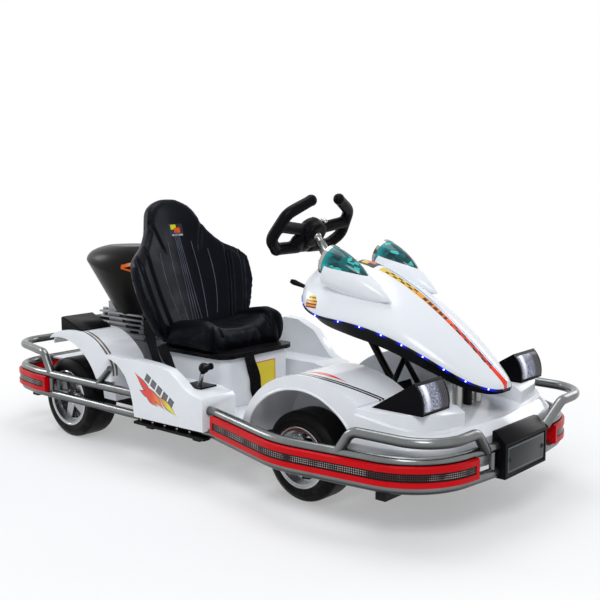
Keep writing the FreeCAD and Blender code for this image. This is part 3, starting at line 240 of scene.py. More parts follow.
# %% Group helpers
def new_group(name, inputs, outputs):
    """A shader group whose inputs are {name: default} and whose outputs are plain values."""
    group = bpy.data.node_groups.new(name, "ShaderNodeTree")
    for label, value in inputs.items():
        socket = group.interface.new_socket(label, in_out="INPUT", socket_type="NodeSocketFloat")
        socket.default_value = value
    for label in outputs:
        group.interface.new_socket(label, in_out="OUTPUT", socket_type="NodeSocketFloat")
    start = group.nodes.new("NodeGroupInput")
    end = group.nodes.new("NodeGroupOutput")
    return group, start, end


def math_node(tree, operation, *values, clamp=False):
    """A Math node. Each value is a number or a socket. The result is its output socket."""
    node = tree.nodes.new("ShaderNodeMath")
    node.operation = operation
    node.use_clamp = clamp
    for socket, value in zip(node.inputs, values):
        if isinstance(value, (int, float)):
            socket.default_value = value
        else:
            tree.links.new(value, socket)
    return node.outputs[0]


def ramp(tree, value, start, end, to_start=0.0, to_end=1.0):
    """A smooth step from one value to another."""
    node = tree.nodes.new("ShaderNodeMapRange")
    node.interpolation_type = "SMOOTHSTEP"
    set_inputs(node, From_Min=start, From_Max=end, To_Min=to_start, To_Max=to_end)
    tree.links.new(value, node.inputs["Value"])
    return node.outputs[0]


print("group helpers ready")

# %% Place and noise
def object_place(tree, stretch=(1.0, 1.0, 1.0)):
    """Object coordinates, stretched along each axis."""
    place = tree.nodes.new("ShaderNodeTexCoord")
    mapping = tree.nodes.new("ShaderNodeMapping")
    mapping.inputs["Scale"].default_value = stretch
    tree.links.new(place.outputs["Object"], mapping.inputs["Vector"])
    return mapping.outputs["Vector"]


def axes(tree, output="Object"):
    """The x, y and z of a piece's Object coordinates, or of its normal."""
    place = tree.nodes.new("ShaderNodeTexCoord")
    split = tree.nodes.new("ShaderNodeSeparateXYZ")
    tree.links.new(place.outputs[output], split.inputs[0])
    return split.outputs


def noise(tree, vector, scale, detail=3.0, roughness=0.5):
    node = tree.nodes.new("ShaderNodeTexNoise")
    set_inputs(node, Detail=detail, Roughness=roughness)
    if isinstance(scale, (int, float)):
        node.inputs["Scale"].default_value = scale
    else:
        tree.links.new(scale, node.inputs["Scale"])
    tree.links.new(vector, node.inputs["Vector"])
    return node.outputs[0]


print("place and noise ready")

# %% Group: uneven surface
def make_uneven_group():
    """Soft ripple plus fine grain, as on moulded plastic or paint."""
    group, start, end = new_group("uneven_surface", {"Ripple Scale": 14.0, "Grain Scale": 900.0},
                                  ["Height", "Drift"])
    place = object_place(group)
    ripple = noise(group, place, start.outputs["Ripple Scale"], detail=2.0)
    grain = noise(group, place, start.outputs["Grain Scale"], detail=1.0)
    height = math_node(group, "MULTIPLY_ADD", grain, 0.12, ripple)
    group.links.new(height, end.inputs["Height"])
    group.links.new(ramp(group, ripple, 0.3, 0.7), end.inputs["Drift"])
    return group


uneven_surface = make_uneven_group()
print(uneven_surface.name)

# %% Group: settled dust
def make_dust_group():
    """Dust lies on upward faces and is thrown up low down, and it breaks up into patches."""
    group, start, end = new_group("settled_dust", {"Amount": 0.3, "Splash Height": 0.28}, ["Mask"])
    geometry = group.nodes.new("ShaderNodeNewGeometry")
    facing = group.nodes.new("ShaderNodeSeparateXYZ")
    group.links.new(geometry.outputs["Normal"], facing.inputs[0])
    upward = ramp(group, facing.outputs["Z"], 0.5, 1.0, 0.0, 0.5)
    height = math_node(group, "DIVIDE", axes(group)["Z"], start.outputs["Splash Height"])
    splash = ramp(group, height, 1.0, 0.0, 0.0, 0.8)
    cloud = noise(group, object_place(group), 26.0, detail=6.0, roughness=0.65)
    patches = ramp(group, cloud, 0.42, 0.72)
    spread = math_node(group, "MULTIPLY", math_node(group, "MAXIMUM", upward, splash), patches)
    group.links.new(math_node(group, "MULTIPLY", spread, start.outputs["Amount"], clamp=True),
                    end.inputs["Mask"])
    return group


settled_dust = make_dust_group()
print(settled_dust.name)

# %% Group: scuffs
def make_scuff_group():
    """Short thin scratches that run mostly along the kart."""
    group, start, end = new_group("scuffs", {"Amount": 0.5}, ["Mask"])
    streaks = noise(group, object_place(group, (35.0, 260.0, 260.0)), 1.0, detail=2.0)
    cover = noise(group, object_place(group), 9.0, detail=2.0)
    mask = math_node(group, "MULTIPLY", ramp(group, streaks, 0.66, 0.72),
                     ramp(group, cover, 0.5, 0.62))
    group.links.new(math_node(group, "MULTIPLY", mask, start.outputs["Amount"], clamp=True),
                    end.inputs["Mask"])
    return group


scuffs = make_scuff_group()
print(scuffs.name)

# %% Group: woven thread
def make_weave_group():
    """Crossing threads for webbing: bars along the strap over bars across it."""
    group, start, end = new_group("weave", {"Threads": 900.0}, ["Height"])
    x, y, z = axes(group)
    rows, columns = [math_node(group, "SINE", math_node(group, "MULTIPLY", axis,
                                                        start.outputs["Threads"]))
                     for axis in (z, y)]
    group.links.new(math_node(group, "MULTIPLY", rows, columns), end.inputs["Height"])
    return group


weave = make_weave_group()
print(weave.name)

# %% [markdown]
# ## Finishes
# Every finish starts from one function: a Principled shader with its constants set on its own
# sockets, a bump from the uneven-surface group, dust that shifts the colour, and scuffs that
# change the roughness. The finishes differ in those numbers and in the decals that are painted
# over them. Decals are masks worked out from Object coordinates, so they need no unwrapping and
# stay sharp.

# %% Groups, mixes and bumps in a material
def place_group(tree, group, **values):
    node = tree.nodes.new("ShaderNodeGroup")
    node.node_tree = group
    set_inputs(node, **values)
    return node


def mix_colour(tree, mask, first, second):
    """first where the mask is 0 and second where it is 1."""
    node = tree.nodes.new("ShaderNodeMix")
    node.data_type = "RGBA"
    for value, index in ((mask, 0), (first, 6), (second, 7)):
        socket = node.inputs[index]
        if isinstance(value, tuple):
            socket.default_value = value + (1.0,)
        elif isinstance(value, float):
            socket.default_value = value
        else:
            tree.links.new(value, socket)
    return node.outputs[2]


def raise_surface(tree, shader, height, strength, distance):
    """A bump on the shader, laid over the bump that it may have."""
    lift = tree.nodes.new("ShaderNodeBump")
    set_inputs(lift, Strength=strength, Distance=distance)
    tree.links.new(height, lift.inputs["Height"])
    if shader.inputs["Normal"].links:
        tree.links.new(shader.inputs["Normal"].links[0].from_socket, lift.inputs["Normal"])
    tree.links.new(lift.outputs[0], shader.inputs["Normal"])


print("mix and bump ready")

# %% Finish helper
DUST = (0.42, 0.4, 0.37)


def finish(name, colour, roughness, metallic=0.0, coat=0.0, specular=0.5, grain=900.0, bump=0.04,
           dust=0.25, scuff=0.4, drift=0.06):
    """A painted or moulded finish, with its unevenness, dust and scuffs."""
    material, tree, shader = new_material(name)
    set_inputs(shader, Metallic=metallic, Coat_Weight=coat, Coat_Roughness=0.06,
               Specular_IOR_Level=specular)
    surface = place_group(tree, uneven_surface, Grain_Scale=grain)
    darker = tuple(c * (1 - drift) for c in colour)
    base = mix_colour(tree, surface.outputs["Drift"], darker, colour)
    dirt = place_group(tree, settled_dust, Amount=dust)
    scratch = place_group(tree, scuffs, Amount=scuff)
    rough = math_node(tree, "MULTIPLY_ADD", scratch.outputs["Mask"], 0.25, roughness)
    rough = math_node(tree, "MULTIPLY_ADD", dirt.outputs["Mask"], 0.45, rough, clamp=True)
    tree.links.new(rough, shader.inputs["Roughness"])
    tree.links.new(mix_colour(tree, dirt.outputs["Mask"], base, DUST), shader.inputs["Base Color"])
    raise_surface(tree, shader, surface.outputs["Height"], bump * 5, 0.001)
    return material


def dress(node_name, material):
    """Gives a solid one finish all over."""
    thing = nodes[node_name]
    thing.data.materials.clear()
    thing.data.materials.append(material)


print("finish helper ready")

# %% Decal helpers
def base_socket(material):
    """What feeds the dust mix: a decal is put between it and the plain colour."""
    tree = material.node_tree
    dusty = tree.nodes["Principled BSDF"].inputs["Base Color"].links[0].from_node
    return tree, dusty.inputs[6]


def decal(material, mask_maker, colour_maker):
    """Lays a coloured mask over a finish. Both makers are given the tree and x, y, z."""
    tree, socket = base_socket(material)
    plain_colour = socket.links[0].from_socket
    x, y, z = axes(tree)
    mask = mask_maker(tree, x, y, z)
    colour = colour_maker(tree, x, y, z) if callable(colour_maker) else colour_maker
    tree.links.new(mix_colour(tree, mask, plain_colour, colour), socket)


def unsigned(tree, value):
    return math_node(tree, "ABSOLUTE", value)


def away_from(tree, value, centre):
    """How far a value lies from a centre, on either side."""
    return unsigned(tree, math_node(tree, "SUBTRACT", value, centre))


def under(tree, value, limit):
    return math_node(tree, "LESS_THAN", value, limit)


def over(tree, value, limit):
    return math_node(tree, "GREATER_THAN", value, limit)


def leaning(tree, value, slope, other):
    """value + slope * other: a straight line across a panel."""
    return math_node(tree, "MULTIPLY_ADD", other, slope, value)


print("decal helpers ready")

# %% Mask helpers
def every(tree, *masks):
    """1 where all the masks are 1."""
    result = masks[0]
    for mask in masks[1:]:
        result = math_node(tree, "MULTIPLY", result, mask)
    return result


def either(tree, *masks):
    """1 where any of the masks is 1."""
    result = masks[0]
    for mask in masks[1:]:
        result = math_node(tree, "MAXIMUM", result, mask)
    return result


def band(tree, value, start, end):
    """1 where the value lies between start and end."""
    return math_node(tree, "COMPARE", value, (start + end) / 2, abs(end - start) / 2)


def rectangle(tree, first, first_span, second, second_span):
    """1 where each of two values lies within its span."""
    return every(tree, band(tree, first, *first_span), band(tree, second, *second_span))


def repeating(tree, value, step, start, end):
    """1 over one stretch of every step, from start to end as shares of the step."""
    return band(tree, math_node(tree, "FRACT", math_node(tree, "DIVIDE", value, step)), start, end)


def from_axle(start, end):
    """A span given by its distances ahead of the front axle."""
    return FRONT_AXLE.x + start, FRONT_AXLE.x + end


print("mask helpers ready")

# %% Plain finishes
WHITE = (0.82, 0.84, 0.87)
TRIM = (0.003, 0.003, 0.004)
FRAME = (0.004, 0.004, 0.005)


def painted_underside_shade(material, colour):
    """Painted shade: the finish darkens where it faces the ground."""
    tree, socket = base_socket(material)
    unshaded = socket.links[0].from_socket
    painted_shade_share = ramp(tree, axes(tree, "Normal")["Z"], 0.15, -0.6)
    tree.links.new(mix_colour(tree, painted_shade_share, unshaded, colour), socket)


tube_silver = finish("tube_silver", (0.20, 0.21, 0.21), 0.24, metallic=0.92, bump=0.05,
                     grain=2600.0, dust=0.1, scuff=0.7, drift=0.2)
# Painted shade on every underside in this finish, the bumper tubes and the shaft sleeve.
painted_underside_shade(tube_silver, (0.03, 0.034, 0.034))
sill_black = finish("sill_black", FRAME, 0.42, specular=0.08, dust=0.05)
bar_red = finish("bar_red", (0.60, 0.0, 0.004), 0.32, specular=0.12, dust=0.02)
trim_black = finish("trim_black", TRIM, 0.24, specular=0.05, dust=0.01, scuff=0.1)
grey_metal = finish("grey_metal", (0.13, 0.13, 0.135), 0.34, metallic=0.9, bump=0.1, dust=0.1)
chrome = finish("chrome", (0.42, 0.41, 0.38), 0.16, metallic=1.0, bump=0.03, dust=0.03, scuff=0.2)
frame_black = finish("frame_black", FRAME, 0.35, specular=0.1, dust=0.05)
case_grey = finish("case_grey", (0.06, 0.06, 0.07), 0.5, dust=0.4)
grip_black = finish("grip_black", TRIM, 0.36, specular=0.06, grain=1500.0, bump=0.1, dust=0.005)
rim_alloy = finish("rim_alloy", (0.36, 0.37, 0.385), 0.22, metallic=0.95, coat=0.2, dust=0.3,
                   bump=0.03)
lid_black = finish("lid_black", TRIM, 0.32, specular=0.08, grain=1300.0, bump=0.1, dust=0.01)
body_white = finish("body_white", WHITE, 0.22, coat=0.35, dust=0.12, bump=0.02, drift=0.03)
engine_metal = finish("engine_metal", (0.30, 0.305, 0.32), 0.3, metallic=0.8, bump=0.04,
                      dust=0.05, drift=0.15)
print("13 finishes")

# %% Assign the plain finishes
plain = {
    tube_silver: ("front_bumper", "rear_bumper"),
    sill_black: ("side_rails",),
    bar_red: ("light_bars",),
    trim_black: ("plate_box", "headlight_housings", "nose_tray", "tail_boxes"),
    grey_metal: ("steering_rack", "knuckle_right", "knuckle_left", "rear_axle", "drive_motor"),
    chrome: ("nose_lamp_bezels",),
    frame_black: ("chassis_frame", "pedals"),
    case_grey: ("battery",),
    grip_black: ("steering_wheel",),
    rim_alloy: ("front_rim_right", "front_rim_left", "rear_rims"),
    lid_black: ("seat_lid", "seat_back", "seat_cushion", "seat_belts"),
    body_white: ("front_deck", "floor_pan", "rear_deck"),
    engine_metal: ("mock_engine",),
}
for material, names in plain.items():
    for name in names:
        dress(name, material)
print(sum(len(names) for names in plain.values()), "nodes dressed")

# %% [markdown]
# ## The nose and its decals
# The nose is one glossy white shell. Along its ridge, a little to the right of the middle, runs a
# stripe that goes from yellow to red. It carries two stretches of staggered black squares with a
# row of blocks between them, a thin blue line runs down its left side, and a small patch sits
# behind it. A striped badge marks each rear lower corner. All of it is foil on the real kart, so
# here it is colour in the shell's own finish and not a separate piece.

# %% Stripe along the ridge
STRIPE_REAR, STRIPE_TIP = FRONT_AXLE.x + 0.070, NOSE_X - 0.048
STRIPE_HALF, STRIPE_MIDDLE = 0.0130, -0.010
SQUARE_STEP, SQUARE_STRETCHES = 0.026, ((0.020, 0.125), (0.235, 0.36))
BLOCK_STEP, BLOCK_STRETCH = 0.017, (0.14, 0.22)
LINE_HALF = 0.0034


def on_stripe(tree, x, start, end):
    """1 between two distances from the rear end of the stripe."""
    return band(tree, x, STRIPE_REAR + start, STRIPE_REAR + end)


def stripe_mask(tree, x, y, z):
    """The ridge stripe, a little narrower toward the tip."""
    half = ramp(tree, x, STRIPE_REAR, STRIPE_TIP, STRIPE_HALF, STRIPE_HALF * 0.6)
    return every(tree, under(tree, away_from(tree, y, STRIPE_MIDDLE), half),
                 band(tree, x, STRIPE_REAR, STRIPE_TIP))


def stripe_colour(tree, x, y, z):
    warm = ramp(tree, x, STRIPE_REAR + 0.06, STRIPE_REAR + 0.2)
    hot = ramp(tree, x, STRIPE_REAR + 0.17, STRIPE_REAR + 0.27)
    amber = mix_colour(tree, warm, (0.80, 0.52, 0.02), (0.86, 0.22, 0.0))
    return mix_colour(tree, hot, amber, (0.85, 0.03, 0.0))


def squares_mask(tree, x, y, z):
    """Two staggered rows of squares in two stretches, and a row of blocks between them."""
    right = every(tree, repeating(tree, x, SQUARE_STEP, 0.0, 0.5), band(tree, y, -0.0190, -0.0115))
    left = every(tree, repeating(tree, x, SQUARE_STEP, 0.5, 1.0), band(tree, y, -0.0105, -0.0030))
    stretches = either(tree, *[on_stripe(tree, x, *stretch) for stretch in SQUARE_STRETCHES])
    blocks = every(tree, repeating(tree, x, BLOCK_STEP, 0.0, 0.66),
                   band(tree, y, -0.0185, -0.0045), on_stripe(tree, x, *BLOCK_STRETCH))
    return either(tree, every(tree, either(tree, right, left), stretches), blocks)


def line_mask(tree, x, y, z):
    """The thin blue line on the stripe's left side, closing on it toward the tip."""
    offset = ramp(tree, x, STRIPE_REAR, STRIPE_TIP, 0.0105, 0.0035)
    return every(tree, under(tree, away_from(tree, y, offset), LINE_HALF),
                 band(tree, x, STRIPE_REAR, STRIPE_TIP - 0.02))


print("stripe", round(STRIPE_TIP - STRIPE_REAR, 3), "m long")

# %% Patch and badge
BADGE_REAR, BADGE_FRONT = from_axle(-0.089, -0.049)
BADGE_LOW, BADGE_TOP = 0.519, 0.553
BADGE_BAR_STEP = 0.0088


def patch_mask(tree, x, y, z):
    return rectangle(tree, x, from_axle(-0.003, 0.056), y, (-0.030, 0.026))


def patch_colour(tree, x, y, z):
    """A dark patch with one yellow and one orange block."""
    yellow = rectangle(tree, x, from_axle(0.006, 0.028), y, (-0.021, 0.002))
    orange = rectangle(tree, x, from_axle(0.018, 0.044), y, (-0.008, 0.016))
    colour = mix_colour(tree, yellow, (0.03, 0.028, 0.03), (0.8, 0.5, 0.02))
    return mix_colour(tree, orange, colour, (0.85, 0.12, 0.02))


def badge_mask(tree, x, y, z):
    """A tab with a rounded top: its width narrows as it rises."""
    half = ramp(tree, z, BADGE_TOP, BADGE_LOW + 0.016, 0.013, 0.024)
    tab = under(tree, away_from(tree, x, (BADGE_REAR + BADGE_FRONT) / 2), half)
    return every(tree, tab, over(tree, unsigned(tree, y), 0.06),
                 band(tree, z, BADGE_LOW, BADGE_TOP))


def badge_colour(tree, x, y, z):
    bars = repeating(tree, z, BADGE_BAR_STEP, 0.0, 0.36)
    amber = mix_colour(tree, ramp(tree, z, BADGE_LOW, BADGE_TOP), (0.85, 0.2, 0.01),
                       (0.9, 0.6, 0.03))
    return mix_colour(tree, bars, amber, (0.02, 0.02, 0.02))


nose_white = finish("nose_white", WHITE, 0.2, coat=0.12, specular=0.3, dust=0.02, bump=0.012,
                    drift=0.02, scuff=0.08)
for mask, colour in ((stripe_mask, stripe_colour), (squares_mask, (0.02, 0.015, 0.01)),
                     (line_mask, (0.01, 0.25, 0.75)), (patch_mask, patch_colour),
                     (badge_mask, badge_colour)):
    decal(nose_white, mask, colour)
dress("nose_cone", nose_white)
print("5 nose decals")

# %% [markdown]
# ## Stripes on the fenders
# Each front fender carries two dark pinstripes and a short red flash along its crest, and each
# rear fender two brown-silver bands along its outer edge. Seen from above, the pinstripes follow
# a shallow parabola and the bands are straight, so a few math nodes on x and y place them.

# %% Front fender stripes
CREST_X = FRONT_AXLE.x + 0.068
PINSTRIPES = ((0.3140, 0.3230), (0.3010, 0.3100))
PINSTRIPE_BOW = 3.0
FLASH_OUT, FLASH_LEAN, FLASH_HALF = 0.276, 0.07, 0.0105


def front_stripes(tree, x, y, z):
    """Two thin lines that follow one curve, bowed inward toward the front."""
    ahead = math_node(tree, "SUBTRACT", x, CREST_X)
    bow = math_node(tree, "MULTIPLY", math_node(tree, "MULTIPLY", ahead, ahead), PINSTRIPE_BOW)
    line = math_node(tree, "ADD", unsigned(tree, y), bow)
    pair = either(tree, *[band(tree, line, *edges) for edges in PINSTRIPES])
    return every(tree, pair, band(tree, x, *from_axle(-0.025, 0.235)), over(tree, z, 0.24))


def red_flash(tree, x, y, z):
    """A sliver that ends in a point at both ends."""
    line = leaning(tree, unsigned(tree, y), FLASH_LEAN, x)
    half = ramp(tree, away_from(tree, x, FRONT_AXLE.x + 0.075), 0.09, 0.0, 0.0, FLASH_HALF)
    away = away_from(tree, line, FLASH_OUT + FLASH_LEAN * CREST_X)
    return every(tree, under(tree, away, half), band(tree, x, *from_axle(-0.015, 0.165)),
                 over(tree, z, 0.3))


fender_white = finish("fender_white", WHITE, 0.2, coat=0.4, dust=0.14, bump=0.02, drift=0.03)
decal(fender_white, front_stripes, (0.022, 0.016, 0.018))
decal(fender_white, red_flash, (0.78, 0.03, 0.005))
dress("front_fenders", fender_white)
print("front fender stripes done")

# %% Rear fender bands
REAR_BANDS = ((0.2955, 0.3035), (0.309, 0.3165))


def rear_stripes(tree, x, y, z):
    """Two bands side by side along the outer edge, from the tail box to the pod."""
    out = unsigned(tree, y)
    pair = either(tree, *[band(tree, out, *edges) for edges in REAR_BANDS])
    return every(tree, pair, band(tree, x, REAR_AXLE_X + 0.118, POD_REAR_X + 0.02),
                 over(tree, z, 0.25))


rear_white = finish("rear_white", WHITE, 0.2, coat=0.4, dust=0.16, bump=0.02, drift=0.03)
decal(rear_white, rear_stripes, (0.13, 0.10, 0.08))
dress("rear_fenders", rear_white)
print("rear fender bands done")

# %% [markdown]
# ## The flash on the side pods
# The outer face of each pod has a zigzag flash, red at its upper rear and yellow at its lower
# front, inside a thin dark outline, and beside it a run of outlined blocks. The flash is five
# leaning slivers, each widest at its middle and pointed at both ends. Each decal is laid twice,
# first a little grown and dark for the outline, then at its own size.

# %% Pod flash
POD_WALL = 0.34
# Each sliver: its two ends as (distance ahead of the pod's rear end, height), and its half width.
SLIVERS = (((0.146, 0.296), (0.250, 0.210), 0.0095), ((0.166, 0.240), (0.236, 0.222), 0.007),
           ((0.196, 0.262), (0.292, 0.190), 0.010), ((0.188, 0.236), (0.262, 0.196), 0.008),
           ((0.250, 0.238), (0.345, 0.180), 0.009))


def on_pod(tree, y):
    return over(tree, unsigned(tree, y), POD_WALL)


def between(tree, x, z, start, end, half):
    """1 near the segment from start to end, wide at its middle and pointed at both ends."""
    (x0, z0), (x1, z1) = start, end
    length = math.hypot(x1 - x0, z1 - z0)
    along_x, along_z = (x1 - x0) / length, (z1 - z0) / length
    from_x = math_node(tree, "SUBTRACT", x, POD_REAR_X + (x0 + x1) / 2)
    from_z = math_node(tree, "SUBTRACT", z, (z0 + z1) / 2)
    along = leaning(tree, math_node(tree, "MULTIPLY", from_x, along_x), along_z, from_z)
    across = leaning(tree, math_node(tree, "MULTIPLY", from_x, -along_z), along_x, from_z)
    room = ramp(tree, unsigned(tree, along), length / 2, 0.0, 0.0, half)
    return under(tree, unsigned(tree, across), room)


def flash_mask(grow):
    def mask(tree, x, y, z):
        parts = [between(tree, x, z, start, end, half + grow) for start, end, half in SLIVERS]
        return every(tree, either(tree, *parts), on_pod(tree, y))
    return mask


def flash_colour(tree, x, y, z):
    start = POD_REAR_X
    warm = mix_colour(tree, ramp(tree, x, start + 0.22, start + 0.26), (0.78, 0.012, 0.002),
                      (0.85, 0.22, 0.0))
    return mix_colour(tree, ramp(tree, x, start + 0.27, start + 0.31), warm, (0.78, 0.74, 0.04))


print("pod flash of", len(SLIVERS), "slivers")

# %% Pod blocks and finish
OUTLINE = 0.003
BLOCK_LEAN, POD_BLOCK_STEP = 0.58, 0.034


def blocks_mask(grow):
    """Five slanted blocks beside the flash, in place of lettering."""
    def mask(tree, x, y, z):
        ahead = math_node(tree, "SUBTRACT", x, POD_REAR_X)
        fall = leaning(tree, z, BLOCK_LEAN, ahead)
        run = leaning(tree, ahead, -BLOCK_LEAN, z)
        row = repeating(tree, run, POD_BLOCK_STEP, 0.16 - grow * 24, 0.8 + grow * 24)
        return every(tree, row, on_pod(tree, y), band(tree, fall, 0.392 - grow, 0.414 + grow),
                     band(tree, run, 0.034 - grow, 0.204 + grow))
    return mask


pod_white = finish("pod_white", WHITE, 0.2, coat=0.4, dust=0.12, bump=0.02, drift=0.03)
decal(pod_white, blocks_mask(OUTLINE), (0.02, 0.02, 0.02))
decal(pod_white, blocks_mask(0.0), (0.10, 0.105, 0.11))
decal(pod_white, flash_mask(OUTLINE), (0.015, 0.02, 0.03))
decal(pod_white, flash_mask(0.0), flash_colour)
dress("side_pods", pod_white)
print("pods dressed")

# %% [markdown]
# ## The sign on the seat box
# A yellow sign with a red border sits on the front face of the seat box. It is left blank.

# %% Seat box finish
BOX_FRONT = high("seat_box").x
SIGN_RIGHT, SIGN_LEFT, SIGN_FOOT, SIGN_TOP = -0.038, 0.074, 0.210, 0.291


def sign_mask(grow):
    def mask(tree, x, y, z):
        return every(tree, over(tree, x, BOX_FRONT - 0.002),
                     band(tree, y, SIGN_RIGHT - grow, SIGN_LEFT + grow),
                     band(tree, z, SIGN_FOOT - grow, SIGN_TOP + grow))
    return mask


def sign_yellow(tree, x, y, z):
    """Slightly faded in patches."""
    patches = noise(tree, object_place(tree), 40.0)
    return mix_colour(tree, patches, (0.85, 0.62, 0.01), (0.8, 0.7, 0.04))


box_white = finish("box_white", WHITE, 0.3, coat=0.2, dust=0.14, bump=0.03, drift=0.04)
decal(box_white, sign_mask(OUTLINE), (0.7, 0.04, 0.01))
decal(box_white, sign_mask(0.0), sign_yellow)
dress("seat_box", box_white)
print("box sign", round(SIGN_LEFT - SIGN_RIGHT, 3), "m wide")

# %% [markdown]
# ## Tools for new pieces
# The added pieces are modelled as one would by hand: a primitive is set down at its size and
# place, faces or edges are picked by where they are, and an operator shapes them. Everything is
# deselected first, because an operator works on all that is selected. A finished piece keeps its
# place in its mesh and its object at the origin.

# %% Selecting, settling and joining
MERGE = 0.00005


def clear_selection():
    if bpy.context.object and bpy.context.object.mode != "OBJECT":
        bpy.ops.object.mode_set(mode="OBJECT")
    bpy.ops.object.select_all(action="DESELECT")


def pick(thing):
    """Makes one object the selected and active one."""
    clear_selection()
    thing.select_set(True)
    bpy.context.view_layer.objects.active = thing
    return thing


def settle(thing):
    """Puts the object's place and turn into its mesh."""
    pick(thing)
    bpy.ops.object.transform_apply(location=True, rotation=True, scale=True)
    return thing


def recalculate(thing):
    """Merges doubles and turns all faces outward."""
    pick(thing)
    bpy.ops.object.mode_set(mode="EDIT")
    bpy.ops.mesh.select_all(action="SELECT")
    bpy.ops.mesh.remove_doubles(threshold=MERGE)
    bpy.ops.mesh.normals_make_consistent(inside=False)
    bpy.ops.object.mode_set(mode="OBJECT")
    return thing


def join(name, things):
    clear_selection()
    for thing in things:
        thing.select_set(True)
    bpy.context.view_layer.objects.active = things[0]
    if len(things) > 1:
        bpy.ops.object.join()
    things[0].name = name
    return things[0]


def copy_of(node_name):
    """A merged copy of a solid, to be shaped into a new piece."""
    pick(nodes[node_name])
    bpy.ops.object.duplicate()
    copy = bpy.context.object
    bpy.ops.object.parent_clear(type="CLEAR_KEEP_TRANSFORM")
    settle(copy)
    copy.data.materials.clear()
    return recalculate(copy)


print("selection tools ready")

# %% Modifiers and finished pieces
def apply_modifier(thing, kind, **values):
    pick(thing)
    modifier = thing.modifiers.new(kind.lower(), kind)
    for label, value in values.items():
        setattr(modifier, label, value)
    bpy.ops.object.modifier_apply(modifier=modifier.name)
    return thing


def smooth(thing, degrees=35):
    pick(thing)
    bpy.ops.object.shade_smooth_by_angle(angle=math.radians(degrees))
    return thing


def finish_piece(thing, name, material, body, replaces=()):
    """Names a piece, gives it its material and lets it ride on its body."""
    thing.name = name
    thing.data.materials.clear()
    thing.data.materials.append(material)
    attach(thing, body)
    if replaces:
        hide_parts(*replaces)
    print(name, len(thing.data.polygons), "faces")
    return thing


print("finishing tools ready")

# %% Bars, blocks and cords
def turned(direction):
    """The turn that brings +Z to a direction."""
    return Vector(direction).to_track_quat("Z", "Y").to_euler()


def round_bar(place, direction, radius, length, sides=20, edge=0.0):
    """A cylinder centred on a place, with its rims bevelled."""
    clear_selection()
    bpy.ops.mesh.primitive_cylinder_add(vertices=sides, radius=radius, depth=length,
                                        location=place, rotation=turned(direction))
    bar = bpy.context.object
    if edge:
        apply_modifier(bar, "BEVEL", width=edge, segments=2, limit_method="ANGLE")
    return settle(bar)


def ball(place, direction, radius, stretch, segments, rings):
    """A sphere stretched across and along a direction."""
    clear_selection()
    bpy.ops.mesh.primitive_uv_sphere_add(segments=segments, ring_count=rings, radius=radius)
    thing = bpy.context.object
    thing.scale = stretch
    thing.rotation_euler = turned(direction)
    thing.location = place
    return settle(thing)


def block(corner, other, edge=0.002):
    """A box between two corners, with rounded edges."""
    clear_selection()
    centre = (Vector(corner) + Vector(other)) / 2
    size = Vector(other) - Vector(corner)
    bpy.ops.mesh.primitive_cube_add(size=1.0, location=centre, scale=size)
    box = settle(bpy.context.object)
    if edge:
        apply_modifier(box, "BEVEL", width=edge, segments=2, limit_method="ANGLE")
    return box


def tube_along(points, radii, sides=6):
    """A round bar along a smooth curve through the points, with a radius at each point."""
    clear_selection()
    bpy.ops.curve.primitive_bezier_curve_add()
    curve = bpy.context.object.data
    curve.bevel_depth = 1.0
    curve.bevel_resolution = sides
    curve.use_fill_caps = True
    spline = curve.splines[0]
    spline.bezier_points.add(len(points) - len(spline.bezier_points))
    spline.resolution_u = 8
    for knot, point, radius in zip(spline.bezier_points, points, radii):
        knot.co, knot.radius = point, radius
        knot.handle_left_type = knot.handle_right_type = "AUTO"
    bpy.ops.object.convert(target="MESH")
    return recalculate(bpy.context.object)


print("bar, block and cord tools ready")

# %% Screw
def dome_screw(place, direction, radius):
    """A round-headed screw: a flattened dome with a round socket pressed into its top."""
    clear_selection()
    bpy.ops.mesh.primitive_cylinder_add(vertices=18, radius=radius, depth=radius * 0.5,
                                        location=(0, 0, radius * 0.25))
    head = bpy.context.object
    bpy.ops.object.transform_apply(location=True)
    bpy.ops.object.mode_set(mode="EDIT")
    bpy.ops.mesh.select_all(action="DESELECT")
    bpy.ops.object.mode_set(mode="OBJECT")
    for face in head.data.polygons:
        face.select = face.normal.z > 0.9
    bpy.ops.object.mode_set(mode="EDIT")
    for inward, rise in ((0.28, 0.2), (0.25, 0.0), (0.02, -0.3)):
        bpy.ops.mesh.inset(thickness=radius * inward, depth=radius * rise)
    bpy.ops.object.mode_set(mode="OBJECT")
    head.rotation_euler = turned(direction)
    head.location = place
    return settle(head)


print("screw tool ready")

# %% [markdown]
# ## Leather for the seat
# The seat is black artificial leather. Its grain is a network of small cells, which a Voronoi
# texture's distance to the cell edges gives, and a slow noise makes soft wrinkles that catch
# light. The sheen on worn places comes from a roughness that varies with the same slow noise.

# %% Group: leather grain
def make_leather_group():
    """Small raised cells over slow wrinkles."""
    group, start, end = new_group("leather_grain", {"Cell Scale": 520.0, "Wrinkle Scale": 16.0},
                                  ["Height", "Worn"])
    place = object_place(group)
    cells = group.nodes.new("ShaderNodeTexVoronoi")
    cells.feature = "DISTANCE_TO_EDGE"
    group.links.new(place, cells.inputs["Vector"])
    group.links.new(start.outputs["Cell Scale"], cells.inputs["Scale"])
    pebbles = ramp(group, cells.outputs["Distance"], 0.0, 0.28)
    wrinkles = noise(group, place, start.outputs["Wrinkle Scale"], detail=4.0)
    height = math_node(group, "MULTIPLY_ADD", pebbles, 0.16, wrinkles)
    group.links.new(height, end.inputs["Height"])
    group.links.new(ramp(group, wrinkles, 0.4, 0.65), end.inputs["Worn"])
    return group


leather_grain = make_leather_group()
print(leather_grain.name)

